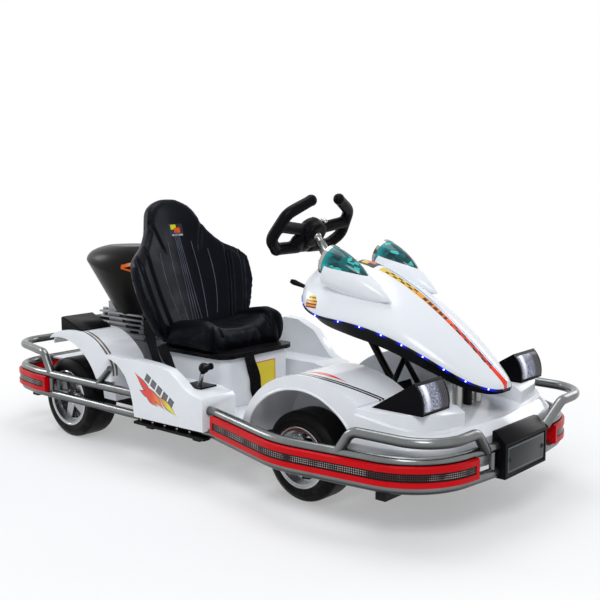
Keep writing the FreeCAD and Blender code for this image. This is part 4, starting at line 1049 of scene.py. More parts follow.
# %% Leather finishes
def leather(name, colour, wrinkle=16.0, depth=0.07, rough=(0.40, 0.30)):
    material, tree, shader = new_material(name)
    set_inputs(shader, Specular_IOR_Level=0.06, Specular_Tint=(0.62, 0.72, 1.0, 1.0))
    grain = place_group(tree, leather_grain, Wrinkle_Scale=wrinkle)
    tree.links.new(ramp(tree, grain.outputs["Worn"], 0.0, 1.0, *rough), shader.inputs["Roughness"])
    dirt = place_group(tree, settled_dust, Amount=0.006, Splash_Height=0.2)
    worn = mix_colour(tree, grain.outputs["Worn"], colour, tuple(c * 1.5 for c in colour))
    tree.links.new(mix_colour(tree, dirt.outputs["Mask"], worn, DUST), shader.inputs["Base Color"])
    raise_surface(tree, shader, grain.outputs["Height"], depth, 0.002)
    return material


seat_leather = leather("seat_leather", (0.0035, 0.0035, 0.005))
cushion_leather = leather("cushion_leather", TRIM, wrinkle=24.0, depth=0.1, rough=(0.40, 0.28))
piping_blue = leather("piping_blue", (0.075, 0.085, 0.11), depth=0.05)
print("3 leathers")

# %% Label on the headrest
def label_mask(tree, x, y, z):
    """A small plain label on the headrest."""
    return every(tree, rectangle(tree, y, (-0.030, 0.030), z, (0.681, 0.721)),
                 over(tree, x, low("seat_lid").x - 0.12))


def label_colour(tree, x, y, z):
    """One yellow and one orange block over a pale foot, on dark grey."""
    colour = (0.03, 0.03, 0.034)
    for out, up, paint in (((-0.020, 0.026), (0.681, 0.687), (0.4, 0.42, 0.45)),
                           ((-0.022, 0.002), (0.703, 0.719), (0.62, 0.62, 0.02)),
                           ((-0.008, 0.018), (0.691, 0.708), (0.78, 0.09, 0.01))):
        colour = mix_colour(tree, rectangle(tree, y, out, z, up), colour, paint)
    return colour


decal(seat_leather, label_mask, label_colour)
print("label done")

# %% [markdown]
# ## The seat back
# The back is one padded shell. A copy of its solid is remeshed into even small faces, a short
# cloth run under gentle pressure puffs it, and then the sewn grooves are pressed in: each vertex
# near a groove line moves inward by a smooth amount. The piping is laid on last, as thin cords
# that follow the surface, found by casting rays at it.

# %% Soft form helpers
CLOTH_FRAMES = 20


def puffed(thing, voxel, pressure, cap):
    """Remeshes a piece and lets a short cloth run swell it by no more than the cap."""
    apply_modifier(thing, "REMESH", mode="VOXEL", voxel_size=voxel)
    apply_modifier(thing, "SMOOTH", factor=0.5, iterations=8)
    start = [v.co.copy() for v in thing.data.vertices]
    pick(thing)
    cloth = thing.modifiers.new("cloth", "CLOTH")
    cloth.settings.use_pressure = True
    cloth.settings.uniform_pressure_force = pressure
    cloth.settings.effector_weights.gravity = 0.0
    cloth.settings.quality = 4
    cloth.point_cache.frame_start, cloth.point_cache.frame_end = 1, CLOTH_FRAMES
    for frame_number in range(1, CLOTH_FRAMES + 1):
        bpy.context.scene.frame_set(frame_number)
    bpy.ops.object.modifier_apply(modifier="cloth")
    bpy.context.scene.frame_set(1)
    for vertex, before in zip(thing.data.vertices, start):
        move = vertex.co - before
        if move.length > cap:
            vertex.co = before + move.normalized() * cap
    return thing


def press(thing, depth_at):
    """Moves each vertex inward along its normal by depth_at(place, normal)."""
    mesh = thing.data
    moves = [depth_at(v.co, v.normal) for v in mesh.vertices]
    normals = [v.normal.copy() for v in mesh.vertices]
    for vertex, normal, move in zip(mesh.vertices, normals, moves):
        if move:
            vertex.co = vertex.co - normal * move
    mesh.update()


def held(value):
    """A number kept between 0 and 1."""
    return max(0.0, min(value, 1.0))


def dip(distance, width):
    """1 on a line and 0 beyond its width, smooth between."""
    share = min(abs(distance) / width, 1.0)
    return (1 - share * share) ** 2


print("soft helpers ready")

# %% Seat back
BACK_LEAN = math.radians(19.0)
BACK_UP = Vector((-math.sin(BACK_LEAN), 0, math.cos(BACK_LEAN)))
BACK_FORWARD = Vector((math.cos(BACK_LEAN), 0, math.sin(BACK_LEAN)))
BACK_FOOT = Vector((low("seat_lid").x + 0.046, 0, high("seat_lid").z + 0.007))
GROOVE_RISE = 0.33
# Each wing groove: how far out at its foot and at its head, its width and its depth.
WING_GROOVES = ((0.125, 0.180, 0.013, 0.010), (0.175, 0.232, 0.012, 0.008))


def groove_at(rise, foot_out, head_out):
    """How far out a groove runs at a height: it swings outward as it climbs."""
    return foot_out + (head_out - foot_out) * math.sin(held(rise / GROOVE_RISE) * math.pi / 2)


def back_grooves(place, normal):
    """Two long grooves on each wing, a fold beside the headrest and a hollow centre."""
    offset = place - BACK_FOOT
    rise, out = offset.dot(BACK_UP), abs(place.y)
    if normal.dot(BACK_FORWARD) < 0.25 or rise > 0.48:
        return 0.0
    wings = sum(dip(out - groove_at(rise, foot_out, head_out), width) * depth
                for foot_out, head_out, width, depth in WING_GROOVES)
    shoulder = dip(out - 0.078 - (rise - 0.30) * 0.35, 0.012) * 0.006
    shoulder *= held((rise - 0.29) / 0.03) * held((0.43 - rise) / 0.04)
    centre = dip(out, 0.10) * 0.005 * held((0.42 - rise) / 0.06)
    return wings * held((0.36 - rise) / 0.08) + shoulder + centre


seat_back = copy_of("seat_back")
puffed(seat_back, voxel=0.0068, pressure=3.0, cap=0.006)
apply_modifier(seat_back, "SMOOTH", factor=0.6, iterations=14)
apply_modifier(seat_back, "SUBSURF", levels=1, render_levels=1)
press(seat_back, back_grooves)
smooth(seat_back, 80)
finish_piece(seat_back, "seat_back_leather", seat_leather, "chassis",
             ["seat_back"])

# %% Piping on the seat back
PIPING_R, PIPING_STEPS = 0.0015, 26
# Each pair of cords: how far out at the foot and at the head, the two heights, and the bow.
CORDS = ((0.006, 0.003, 0.065, 0.375, 0.0), (0.020, 0.009, 0.065, 0.37, 0.0),
         (0.044, 0.052, 0.065, 0.335, 0.006), (0.084, 0.108, 0.075, 0.30, 0.010))


def on_back(out, rise, lift):
    """The point on the back's front skin at a distance out and a height up it."""
    start = BACK_FOOT + BACK_UP * rise + Vector((0, out, 0)) + BACK_FORWARD * 0.3
    hit, place, normal, _ = seat_back.ray_cast(start, -BACK_FORWARD)
    return place + normal * lift if hit else None


def piping_line(base, top, foot, head, bow):
    """A cord from one distance out at the foot to another at the head."""
    points = []
    for i in range(PIPING_STEPS + 1):
        share = i / PIPING_STEPS
        out = base + (top - base) * share ** 0.8 + bow * math.sin(math.pi * share)
        place = on_back(out, foot + (head - foot) * share, -PIPING_R * 0.25)
        if place:
            points.append(place)
    return tube_along(points, [PIPING_R] * len(points), sides=2)


lines = [piping_line(side * base, side * top, foot, head, side * bow)
         for side in (-1, 1) for base, top, foot, head, bow in CORDS]
piping = join("seat_piping", lines)
smooth(piping, 60)
finish_piece(piping, "seat_piping", piping_blue, "chassis")

# %% [markdown]
# ## The seat cushion
# The squab is one stuffed leather pad with raised sides. It starts a little smaller than its
# solid, is remeshed into even faces, and a cloth run under pressure rounds it. Its two wings are
# then raised, the left more than the right, as they have settled unevenly. Creases come next:
# ridged noise, stretched across the seat, is strongest near the front roll where the leather is
# pulled.

# %% Seat cushion
CUSHION_REAR, CUSHION_FRONT = low("seat_cushion").x, high("seat_cushion").x
CUSHION_FOOT, CUSHION_MIDDLE = low("seat_cushion").z, middle("seat_cushion").x
CUSHION_SHRINK = (0.97, 0.95, 0.96)
WING_OUT, WING_WIDTH, WING_RISE = 0.142, 0.08, 0.026
CHANNEL_OUT, CHANNEL_WIDTH, CHANNEL_DEPTH = 0.112, 0.011, 0.006


def share_ahead(place):
    """0 at the rear of the cushion and 1 at its front."""
    return (place.x - CUSHION_REAR) / (CUSHION_FRONT - CUSHION_REAR)


def crease_depth(place, normal):
    """Wrinkles that run up over the front roll, fading toward the back."""
    if normal.z < -0.5:
        return 0.0
    grain = Vector((place.x * 7.0, place.y * 12.0, place.z * 6.0))
    ridge = 1.0 - abs(mathutils.noise.noise(grain)) * 2.4
    fine = 1.0 - abs(mathutils.noise.noise(grain * 2.3)) * 2.2
    strength = 0.3 + 0.7 * held(share_ahead(place))
    return strength * (0.0038 * max(ridge, 0.0) ** 2 + 0.0008 * max(fine, 0.0) ** 2)


def channel_depth(place, normal):
    """The two sewn channels that part the flat seat from its raised sides."""
    if normal.z < 0.2:
        return 0.0
    return CHANNEL_DEPTH * dip(abs(place.y) - CHANNEL_OUT, CHANNEL_WIDTH)


cushion = copy_of("seat_cushion")
for vertex in cushion.data.vertices:
    vertex.co.x = CUSHION_MIDDLE + (vertex.co.x - CUSHION_MIDDLE) * CUSHION_SHRINK[0]
    vertex.co.y *= CUSHION_SHRINK[1]
    vertex.co.z = CUSHION_FOOT + (vertex.co.z - CUSHION_FOOT) * CUSHION_SHRINK[2]
puffed(cushion, voxel=0.0055, pressure=4.0, cap=0.014)
apply_modifier(cushion, "SMOOTH", factor=0.7, iterations=55)
for vertex in cushion.data.vertices:
    rise = max(0.0, (vertex.co.z - CUSHION_FOOT - 0.02) / 0.06)
    wing = dip(abs(vertex.co.y) - WING_OUT, WING_WIDTH) * (1.2 if vertex.co.y > 0 else 0.55)
    vertex.co.z += WING_RISE * rise * wing * held(share_ahead(vertex.co) * 1.3)
apply_modifier(cushion, "SUBSURF", levels=1, render_levels=1)
press(cushion, lambda place, normal: crease_depth(place, normal) + channel_depth(place, normal))
for vertex in cushion.data.vertices:
    vertex.co.z = max(vertex.co.z, CUSHION_FOOT + 0.0005)
smooth(cushion, 80)
finish_piece(cushion, "seat_cushion_leather", cushion_leather, "chassis",
             ["seat_cushion"])

# %% [markdown]
# ## Webbing straps
# Three lengths of black webbing: two run from the seat down to the pod, and a loose one hangs
# over the front of the box with a half twist. Each is a narrow grid whose rows are set across a
# path, then thickened. It is modelled flat, because a remesh would swallow something this thin.

# %% Webbing finish
webbing_black, tree, shader = new_material("webbing_black")
shader.inputs["Specular IOR Level"].default_value = 0.05
threads = place_group(tree, weave, Threads=2600.0)
fluff = noise(tree, object_place(tree), 120.0)
tree.links.new(mix_colour(tree, ramp(tree, fluff, 0.4, 0.7), TRIM, (0.008, 0.008, 0.009)),
               shader.inputs["Base Color"])
tree.links.new(ramp(tree, threads.outputs["Height"], -1.0, 1.0, 0.7, 0.5),
               shader.inputs["Roughness"])
raise_surface(tree, shader, threads.outputs["Height"], 0.5, 0.0006)
print("webbing finish done")

# %% Webbing
WEBBING_ROWS, WEBBING_COLUMNS, WEBBING_THICK = 40, 8, 0.0022


def spline_point(knots, share):
    """A smooth point among the knots (a Catmull-Rom curve)."""
    spans = len(knots) - 1
    index = min(int(share * spans), spans - 1)
    t = share * spans - index
    a, b = knots[max(index - 1, 0)], knots[index]
    c, d = knots[index + 1], knots[min(index + 2, spans)]
    return 0.5 * ((2 * b) + (c - a) * t + (2 * a - 5 * b + 4 * c - d) * t * t
                  + (3 * b - a - 3 * c + d) * t ** 3)


def webbing(knots, acrosses, width):
    """A strap whose centre line goes through the knots and whose width lies along acrosses."""
    clear_selection()
    bpy.ops.mesh.primitive_grid_add(x_subdivisions=WEBBING_COLUMNS,
                                    y_subdivisions=WEBBING_ROWS, size=1.0)
    strap = bpy.context.object
    for vertex in strap.data.vertices:
        side, share = vertex.co.x, vertex.co.y + 0.5
        across = spline_point(acrosses, share).normalized()
        vertex.co = spline_point(knots, share) + across * side * width
    apply_modifier(strap, "SOLIDIFY", thickness=WEBBING_THICK, offset=0.0)
    return recalculate(strap)


# Each strap: the end of the lid that it hangs from, its width, its knots, counted from that end,
# and the way its width lies at each knot.
LID_BACK, LID_FRONT = low("seat_lid").x, high("seat_lid").x
STRAPS = (
    (LID_FRONT, 0.036,
     ((0.003, -0.062, 0.330), (0.008, -0.056, 0.296), (0.010, -0.042, 0.252),
      (0.006, -0.034, 0.212), (0.005, -0.018, 0.177)),
     ((0.1, 1, 0.1), (0.25, 1, 0.3), (0.75, 0.6, 0.3), (0.6, 0.8, 0.3), (0.2, 1, 0.35))),
    (LID_BACK, 0.044,
     ((-0.022, -0.178, 0.418), (-0.010, -0.182, 0.378), (0.012, -0.184, 0.322),
      (0.038, -0.186, 0.268)),
     ((1, 0.0, 0.25), (1, 0.1, 0.2), (1, -0.1, 0.2), (1, 0.0, 0.2))),
    (LID_BACK, 0.044,
     ((0.082, -0.209, 0.350), (0.104, -0.212, 0.320), (0.125, -0.213, 0.292),
      (0.142, -0.215, 0.268)),
     ((1, 0.0, 0.3), (1, 0.1, 0.25), (1, -0.1, 0.2), (1, 0.0, 0.2))))
belts = [webbing([Vector((end + ahead, out, up)) for ahead, out, up in knots],
                 [Vector(across) for across in acrosses], width)
         for end, width, knots, acrosses in STRAPS]
straps = join("seat_webbing", belts)
smooth(straps, 40)
finish_piece(straps, "seat_webbing", webbing_black, "chassis", replaces=["seat_belts"])

# %% [markdown]
# ## The steering wheel
# The wheel is one soft-touch moulding: thick grips, flat spokes and a bulging boss that flow into
# each other. A copy of its solid gets bulbs for the boss and the thumb rests and thicker bars
# along the spokes and the low rim. The lot is voxel remeshed into one skin, smoothing melts the
# joints, and a light outward press fills it out below its top. A small bright button sits on one
# spoke.

# %% Steering wheel
WHEEL_TILT, COLUMN_LEAN = math.radians(58.0), math.radians(55)
WHEEL_UP = Vector((math.cos(WHEEL_TILT), 0, math.sin(WHEEL_TILT)))
WHEEL_FACE = Vector((-math.sin(WHEEL_TILT), 0, math.cos(WHEEL_TILT)))
COLUMN_X, COLUMN_Z, COLUMN_RISE = FRONT_AXLE.x - 0.133, 0.646, 0.076
SHAFT_TOP = Vector((COLUMN_X - COLUMN_RISE * math.cos(COLUMN_LEAN), 0,
                    COLUMN_Z + COLUMN_RISE * math.sin(COLUMN_LEAN)))
SHAFT_DOWN = Vector((math.cos(COLUMN_LEAN), 0, -math.sin(COLUMN_LEAN)))
WHEEL_HUB = SHAFT_TOP + WHEEL_FACE * 0.030
WHEEL_TOP = high("steering_wheel").z
FULLER = 0.0028


def on_wheel(across, up, out):
    """A point given across the wheel, up its plane and out of its face."""
    return WHEEL_HUB + Vector((0, -across, 0)) + WHEEL_UP * up + WHEEL_FACE * out


def bulb(place, radius, stretch):
    return ball(place, WHEEL_FACE, radius, stretch, 24, 14)


wheel_parts = [copy_of("steering_wheel"),
               bulb(on_wheel(0, -0.004, 0.0), 0.044, (1.0, 1.0, 0.62)),
               bulb(on_wheel(0, -0.030, -0.004), 0.040, (0.75, 0.9, 0.5))]
for side in (-1, 1):
    spoke_way = on_wheel(side, 0.16, 0) - on_wheel(0, 0, 0)
    wheel_parts.append(round_bar(on_wheel(side * 0.088, 0.012, 0.0), spoke_way, 0.0155, 0.13))
    wheel_parts.append(round_bar(on_wheel(side * 0.072, -0.060, 0.0), (0, 1, 0), 0.0165, 0.10))
for side in (-1, 1):
    wheel_parts.append(bulb(on_wheel(side * 0.034, -0.036, -0.002), 0.030, (1.0, 0.9, 0.5)))
wheel = join("steering_wheel_skin", wheel_parts)
apply_modifier(wheel, "REMESH", mode="VOXEL", voxel_size=0.0032)
apply_modifier(wheel, "SMOOTH", factor=0.6, iterations=10)
press(wheel, lambda place, normal: -FULLER * held((WHEEL_TOP - place.z) / 0.03))
smooth(wheel, 60)
finish_piece(wheel, "steering_wheel_skin", grip_black, "steering_wheel",
             replaces=["steering_wheel"])

# %% Horn button
button = round_bar(on_wheel(-0.054, 0.026, 0.006), WHEEL_FACE, 0.008, 0.020, edge=0.002)
smooth(button)
finish_piece(button, "wheel_button", chrome, "steering_wheel")

# %% [markdown]
# ## Lamps
# The two teardrop lenses on the nose are teal plastic over a faceted reflector. Depth is hinted
# at by Voronoi cells that vary from dark teal to a brighter teal, with a painted glint of bright
# cyan in a few cells and painted light toward the bezel, under a smooth surface. The headlight
# fronts are patterned: silver with fine dots and one painted highlight streak, darker toward one
# side, and the pattern glows a little with painted light. Rim and pattern are two finishes in one
# material, parted by a mask.

# %% Teal lenses
# Where the painted light on the teal lens runs, ahead of the front axle.
LENS_PAINTED_LIGHT_SPAN = (0.02, -0.02)

lens_teal, tree, shader = new_material("lens_teal")
set_inputs(shader, Roughness=0.08, Specular_IOR_Level=0.3)
facets = tree.nodes.new("ShaderNodeTexVoronoi")
facets.feature = "F1"
facets.inputs["Scale"].default_value = 88.0
tree.links.new(object_place(tree, (0.55, 1.0, 1.0)), facets.inputs["Vector"])
split = tree.nodes.new("ShaderNodeSeparateColor")
tree.links.new(facets.outputs["Color"], split.inputs[0])
# Painted light: the lens grows lighter toward its rear by the bezel, and a few cells get a painted
# glint.
painted_light_share = ramp(tree, axes(tree)["X"], *from_axle(*LENS_PAINTED_LIGHT_SPAN))
deep = mix_colour(tree, ramp(tree, split.outputs["Red"], 0.1, 0.9), (0.0, 0.026, 0.034),
                  (0.0, 0.125, 0.13))
painted_glint = ramp(tree, split.outputs["Green"], 0.88, 0.90)
with_painted_glints = mix_colour(tree, painted_glint, deep, (0.04, 0.52, 0.48))
painted_edge_light = mix_colour(tree, math_node(tree, "MULTIPLY", painted_light_share, 0.85), with_painted_glints,
                      (0.0, 0.42, 0.44))
tree.links.new(painted_edge_light, shader.inputs["Base Color"])
dress("nose_lamps", lens_teal)
print("teal lenses done")

# %% Two finishes in one material
def parted(name, mask_maker, first, second, specular=0.3, bump=0.03, glow=0.0):
    """Two finishes, each (colour, roughness, metallic), parted by a mask. The second may glow with
    painted light.
    """
    material = finish(name, first[0], first[1], specular=specular, bump=bump, dust=0.02, scuff=0.1)
    decal(material, mask_maker, second[0])
    tree = material.node_tree
    shader = tree.nodes["Principled BSDF"]
    place = axes(tree)
    mask = mask_maker(tree, *place)
    for label, index in (("Roughness", 1), ("Metallic", 2)):
        tree.links.new(ramp(tree, mask, 0.0, 1.0, first[index], second[index]),
                       shader.inputs[label])
    # The glow is painted light: the second finish shines a little as if it were lit.
    if glow:
        with_painted_light = mix_colour(tree, mask, (0.0, 0.0, 0.0), second[0](tree, *place))
        tree.links.new(with_painted_light, shader.inputs["Emission Color"])
        shader.inputs["Emission Strength"].default_value = glow
    return material


print("parted finish ready")

# %% Headlight lenses
LAMP_LOW, LAMP_HIGH = low("headlight_housings"), high("headlight_housings")
LAMP_OUT, LAMP_BROW = LAMP_HIGH.y, LAMP_HIGH.z
LAMP_IN = LAMP_OUT - 0.120
LAMP_RIM = 0.0085
RIB_STEP = 0.0075


def lens_mask(tree, x, y, z):
    """The lens inside its thin black rim."""
    return every(tree, band(tree, unsigned(tree, y), LAMP_IN + LAMP_RIM, LAMP_OUT - LAMP_RIM),
                 over(tree, z, LAMP_LOW.z + LAMP_RIM))


def lens_colour(tree, x, y, z):
    """Silver with one painted highlight streak, darker toward one side, broken up by fine dots and
    ribs.
    """
    centre = math_node(tree, "MULTIPLY", math_node(tree, "SIGN", y), (LAMP_IN + LAMP_OUT) / 2)
    across = math_node(tree, "SUBTRACT", y, centre)
    dots = tree.nodes.new("ShaderNodeTexVoronoi")
    dots.inputs["Scale"].default_value = 260.0
    tree.links.new(object_place(tree), dots.inputs["Vector"])
    speckle = ramp(tree, dots.outputs["Distance"], 0.2, 0.6)
    silver = mix_colour(tree, speckle, (0.42, 0.44, 0.56), (0.10, 0.105, 0.15))
    # The streak is a painted highlight, strongest toward the top.
    from_painted_streak = unsigned(tree, math_node(tree, "ADD", across, 0.033))
    height = ramp(tree, z, LAMP_LOW.z + 0.01, LAMP_BROW - 0.02, 0.45, 1.0)
    painted_streak = math_node(tree, "MULTIPLY", ramp(tree, from_painted_streak, 0.016, 0.0), height)
    with_painted_light = mix_colour(tree, painted_streak, silver, (0.92, 0.94, 1.0))
    darker_side = mix_colour(tree, repeating(tree, y, RIB_STEP, 0.0, 0.4), (0.012, 0.011, 0.016),
                       (0.045, 0.045, 0.06))
    return mix_colour(tree, ramp(tree, across, 0.008, 0.030), with_painted_light, darker_side)


# The lens pattern glows a little: painted light, as if the reflector behind it were lit.
lamp_lens = parted("lamp_lens", lens_mask, (TRIM, 0.2, 0.0), (lens_colour, 0.16, 0.0), bump=0.0,
                   glow=0.35)
dress("headlight_lenses", lamp_lens)
print("headlight lenses done")

# %% [markdown]
# ## The light line round the nose
# A dark blue strip runs round the nose under the shell. Blue diodes sit behind it, closer
# together toward the tip, each a bright point in a soft pool of light. The pools are emission
# masks in the strip's material, and the points are small glowing domes. Each dome's place is
# found by casting rays at the strip.

# %% Strip with pools of light
DIODES = [FRONT_AXLE.x + d for d in
          (-0.115, -0.044, 0.043, 0.115, 0.181, 0.240, 0.297, 0.350, 0.401, 0.448)]
POOL_REACH = 0.020

strip_blue = finish("strip_blue", (0.001, 0.004, 0.016), 0.15, specular=0.15, dust=0.0, bump=0.01)
tree = strip_blue.node_tree
shader = tree.nodes["Principled BSDF"]
along = axes(tree)["X"]
pools = [ramp(tree, away_from(tree, along, x_at), POOL_REACH, 0.0) for x_at in DIODES]
shader.inputs["Emission Strength"].default_value = 1.0
tree.links.new(mix_colour(tree, either(tree, *pools), (0.0, 0.0, 0.004), (0.0, 0.005, 0.9)),
               shader.inputs["Emission Color"])
dress("nose_led_strip", strip_blue)
print(len(DIODES), "pools of light on each side")

# %% Diode domes
SCAN_FROM, SCAN_STEP, SCAN_STEPS, SCAN_OUT = 0.30, 0.001, 300, 0.5

diode_glow, tree, shader = new_material("diode_glow")
set_inputs(shader, Base_Color=(0.6, 0.7, 1.0, 1.0), Emission_Color=(0.75, 0.85, 1.0, 1.0),
           Emission_Strength=1.6)


def cast(node_name, start, direction):
    """Where a ray meets a solid and the normal there, or None."""
    hit, place, normal, _ = nodes[node_name].ray_cast(start, direction)
    return (place, normal) if hit else None


def strip_point(x_at, side):
    """The middle of the strip's outer face at a place along the kart."""
    rays = [cast("nose_led_strip", Vector((x_at, side * SCAN_OUT, SCAN_FROM + step * SCAN_STEP)),
                 Vector((0, -side, 0))) for step in range(SCAN_STEPS)]
    hits = [found for found in rays if found and found[0].y * side > 0]
    return hits[len(hits) // 2] if hits else None


found = [strip_point(x_at, side) for x_at in DIODES for side in (-1, 1)]
domes = [ball(place, normal, 0.0024, (1.0, 1.0, 0.5), 12, 8)
         for place, normal in filter(None, found)]
finish_piece(smooth(join("nose_diodes", domes), 60), "nose_diodes", diode_glow, "chassis")

# %% [markdown]
# ## The plate on the front box
# The box on the bumper has rounded edges and a shallow field on its front that holds a blank
# plate. The box is a cube cut to the solid's profile and bevelled. The field is an inset of its
# front face, pushed in, so the plate and its two screws stay within the box.

# %% Front box
BOX_LOW, BOX_HIGH = low("plate_box"), high("plate_box")
FIELD_MARGIN, FIELD_DEPTH = 0.008, 0.003


def chamfered_box():
    """The box with its top front edge cut back in two steps."""
    box = block(BOX_LOW, BOX_HIGH, edge=0)
    pick(box)
    bpy.ops.object.mode_set(mode="EDIT")
    for corner, normal in (((BOX_HIGH.x, 0, BOX_HIGH.z - 0.028), (12, 0, 8)),
                           ((BOX_HIGH.x - 0.008, 0, BOX_HIGH.z - 0.016), (16, 0, 30))):
        bpy.ops.mesh.select_all(action="SELECT")
        bpy.ops.mesh.bisect(plane_co=corner, plane_no=normal, clear_outer=True, use_fill=True)
    bpy.ops.object.mode_set(mode="OBJECT")
    return box


def sink_front(box):
    """Insets the front face and pushes the field in."""
    pick(box)
    for face in box.data.polygons:
        face.select = face.normal.x > 0.99
    bpy.ops.object.mode_set(mode="EDIT")
    bpy.ops.mesh.select_mode(type="FACE")
    bpy.ops.mesh.inset(thickness=FIELD_MARGIN)
    bpy.ops.mesh.inset(thickness=0.0005, depth=-FIELD_DEPTH)
    bpy.ops.object.mode_set(mode="OBJECT")
    return box


front_box = sink_front(chamfered_box())
apply_modifier(front_box, "BEVEL", width=0.005, segments=3, limit_method="ANGLE")
smooth(recalculate(front_box), 40)
finish_piece(front_box, "front_box", trim_black, "chassis", replaces=["plate_box"])

# %% Plate and its screws
PLATE_Z, PLATE_HALF_Y, PLATE_HALF_Z = 0.178, 0.096, 0.035
PLATE_BACK, PLATE_FACE = BOX_HIGH.x - 0.0026, BOX_HIGH.x - 0.0008

plate_grey = finish("plate_grey", (0.026, 0.03, 0.033), 0.34, metallic=0.3, specular=0.2,
                    dust=0.05)


def border_mask(tree, x, y, z):
    """A thin pale line round the blank plate: the larger of two frames less the smaller."""
    out, up = unsigned(tree, y), away_from(tree, z, PLATE_Z)
    inner, outer = [every(tree, under(tree, out, half_y), under(tree, up, half_z))
                    for half_y, half_z in ((0.0905, 0.0295), (0.0920, 0.0310))]
    return math_node(tree, "SUBTRACT", outer, inner, clamp=True)


decal(plate_grey, border_mask, (0.22, 0.24, 0.26))
plate = block((PLATE_BACK, -PLATE_HALF_Y, PLATE_Z - PLATE_HALF_Z),
              (PLATE_FACE, PLATE_HALF_Y, PLATE_Z + PLATE_HALF_Z), edge=0.0006)
finish_piece(smooth(plate), "front_plate", plate_grey, "chassis")

plate_screws = join("plate_screws", [dome_screw((BOX_HIGH.x - 0.0024, side * 0.085, PLATE_Z),
                                                (1, 0, 0), 0.0062) for side in (-1, 1)])
for vertex in plate_screws.data.vertices:
    vertex.co.x = min(vertex.co.x, BOX_HIGH.x)    # the heads end flush with the box
finish_piece(smooth(plate_screws), "plate_screws", sill_black, "chassis")

# %% [markdown]
# ## Finishes that change along one solid
# Some solids hold two materials. The nose posts are bright outside with a black damper between.
# The steering shaft is black within the nose and bright above it, with a short sleeve below the
# joint. The gear lever has a bright shaft under a black knob, and the engine cover carries a warm
# flash. Each gets the parted finish or a decal, with the mask worked out from its own box.

# %% Posts and steering shaft
SHAFT_BRIGHT_FROM = 0.625
SLEEVE_DOWN, SLEEVE_R, SLEEVE_LONG = 0.052, 0.0152, 0.062


def damper_mask(tree, x, y, z):
    """Black for the middle post and for the crossed struts behind."""
    return either(tree, under(tree, unsigned(tree, y), 0.02),
                  under(tree, x, FRONT_AXLE.x + 0.25))


def shaft_mask(tree, x, y, z):
    """The upper stretch of the steering shaft, above the nose."""
    return over(tree, z, SHAFT_BRIGHT_FROM)


dress("nose_posts", parted("nose_post_metal", damper_mask, ((0.42, 0.42, 0.40), 0.28, 0.9),
                           (FRAME, 0.35, 0.0), specular=0.1))
dress("steering_shaft", parted("shaft_finish", shaft_mask, (FRAME, 0.35, 0.0),
                               ((0.27, 0.27, 0.26), 0.28, 0.9), specular=0.1))
sleeve = round_bar(SHAFT_TOP + SHAFT_DOWN * SLEEVE_DOWN, SHAFT_DOWN, SLEEVE_R, SLEEVE_LONG,
                   edge=0.002)
finish_piece(smooth(sleeve), "shaft_sleeve", tube_silver, "steering_column")

# %% Gear lever
LEVER_FOOT = low("shift_lever").z


def lever_mask(tree, x, y, z):
    """The bright stretch of the shaft between plate and knob."""
    return band(tree, z, LEVER_FOOT + 0.0055, LEVER_FOOT + 0.040)


dress("shift_lever", parted("lever_finish", lever_mask, (TRIM, 0.24, 0.0),
                            ((0.5, 0.5, 0.5), 0.25, 0.9), specular=0.1))
print("gear lever done")

# %% Engine cover
FLASH_TIP_X, FLASH_TIP_Z = REAR_AXLE_X + 0.075, 0.571


def cover_arm(slope, low_edge, high_edge):
    """A band that starts at the flash's tip and runs forward at a slope."""
    def mask(tree, x, y, z):
        ahead = math_node(tree, "SUBTRACT", x, FLASH_TIP_X)
        rise = leaning(tree, math_node(tree, "SUBTRACT", z, FLASH_TIP_Z), -slope, ahead)
        return every(tree, band(tree, rise, low_edge, high_edge), over(tree, x, FLASH_TIP_X),
                     over(tree, unsigned(tree, y), 0.05))
    return mask


def warm_to_pale(tree, x, y, z):
    return mix_colour(tree, ramp(tree, x, FLASH_TIP_X + 0.01, FLASH_TIP_X + 0.06),
                      (0.75, 0.13, 0.005), (0.62, 0.60, 0.42))


cover_black = finish("cover_black", (0.006, 0.0055, 0.005), 0.34, metallic=0.1, specular=0.10,
                     coat=0.02, dust=0.01)
decal(cover_black, cover_arm(0.29, -0.003, 0.009), warm_to_pale)
decal(cover_black, cover_arm(-0.25, -0.004, 0.002), (0.7, 0.11, 0.005))
dress("engine_cover", cover_black)
print("cover flash done")

# %% [markdown]
# ## Diode grids in the side bars
# Behind the smoked windows of the red bars lies a fine grid of diodes. The grid is the product of
# two saw waves, one along the bar and one up it. Distance along a bar that bends round a corner
# is x minus the distance from the centre plane, which grows steadily the whole way.

# %% Light strip finish
GRID_STEP_ALONG, GRID_STEP_UP = 0.0072, 0.0052
GRID_FOOT, GRID_TOP = 0.171, 0.187


def grid_mask(tree, x, y, z):
    run = math_node(tree, "SUBTRACT", x, unsigned(tree, y))
    return every(tree, repeating(tree, run, GRID_STEP_ALONG, 0.15, 0.7),
                 repeating(tree, z, GRID_STEP_UP, 0.2, 0.72), band(tree, z, GRID_FOOT, GRID_TOP))


def grid_colour(tree, x, y, z):
    return mix_colour(tree, ramp(tree, noise(tree, object_place(tree), 14.0), 0.42, 0.62),
                      (0.08, 0.03, 0.03), (0.40, 0.35, 0.33))


strip_smoke = finish("strip_smoke", (0.004, 0.003, 0.004), 0.2, specular=0.15, dust=0.02)
decal(strip_smoke, grid_mask, grid_colour)
dress("light_strips", strip_smoke)
print("strip grid done")

# %% [markdown]
# ## Tyres and wheels
# The tyres are slicks, with a few shallow moulded rings on the wall. The rings are a bump that
# depends on the distance from the wheel's own axle, so they stay round as it turns. A bright
# rolled lip, five nuts and a valve are added to each rim and turn with it.

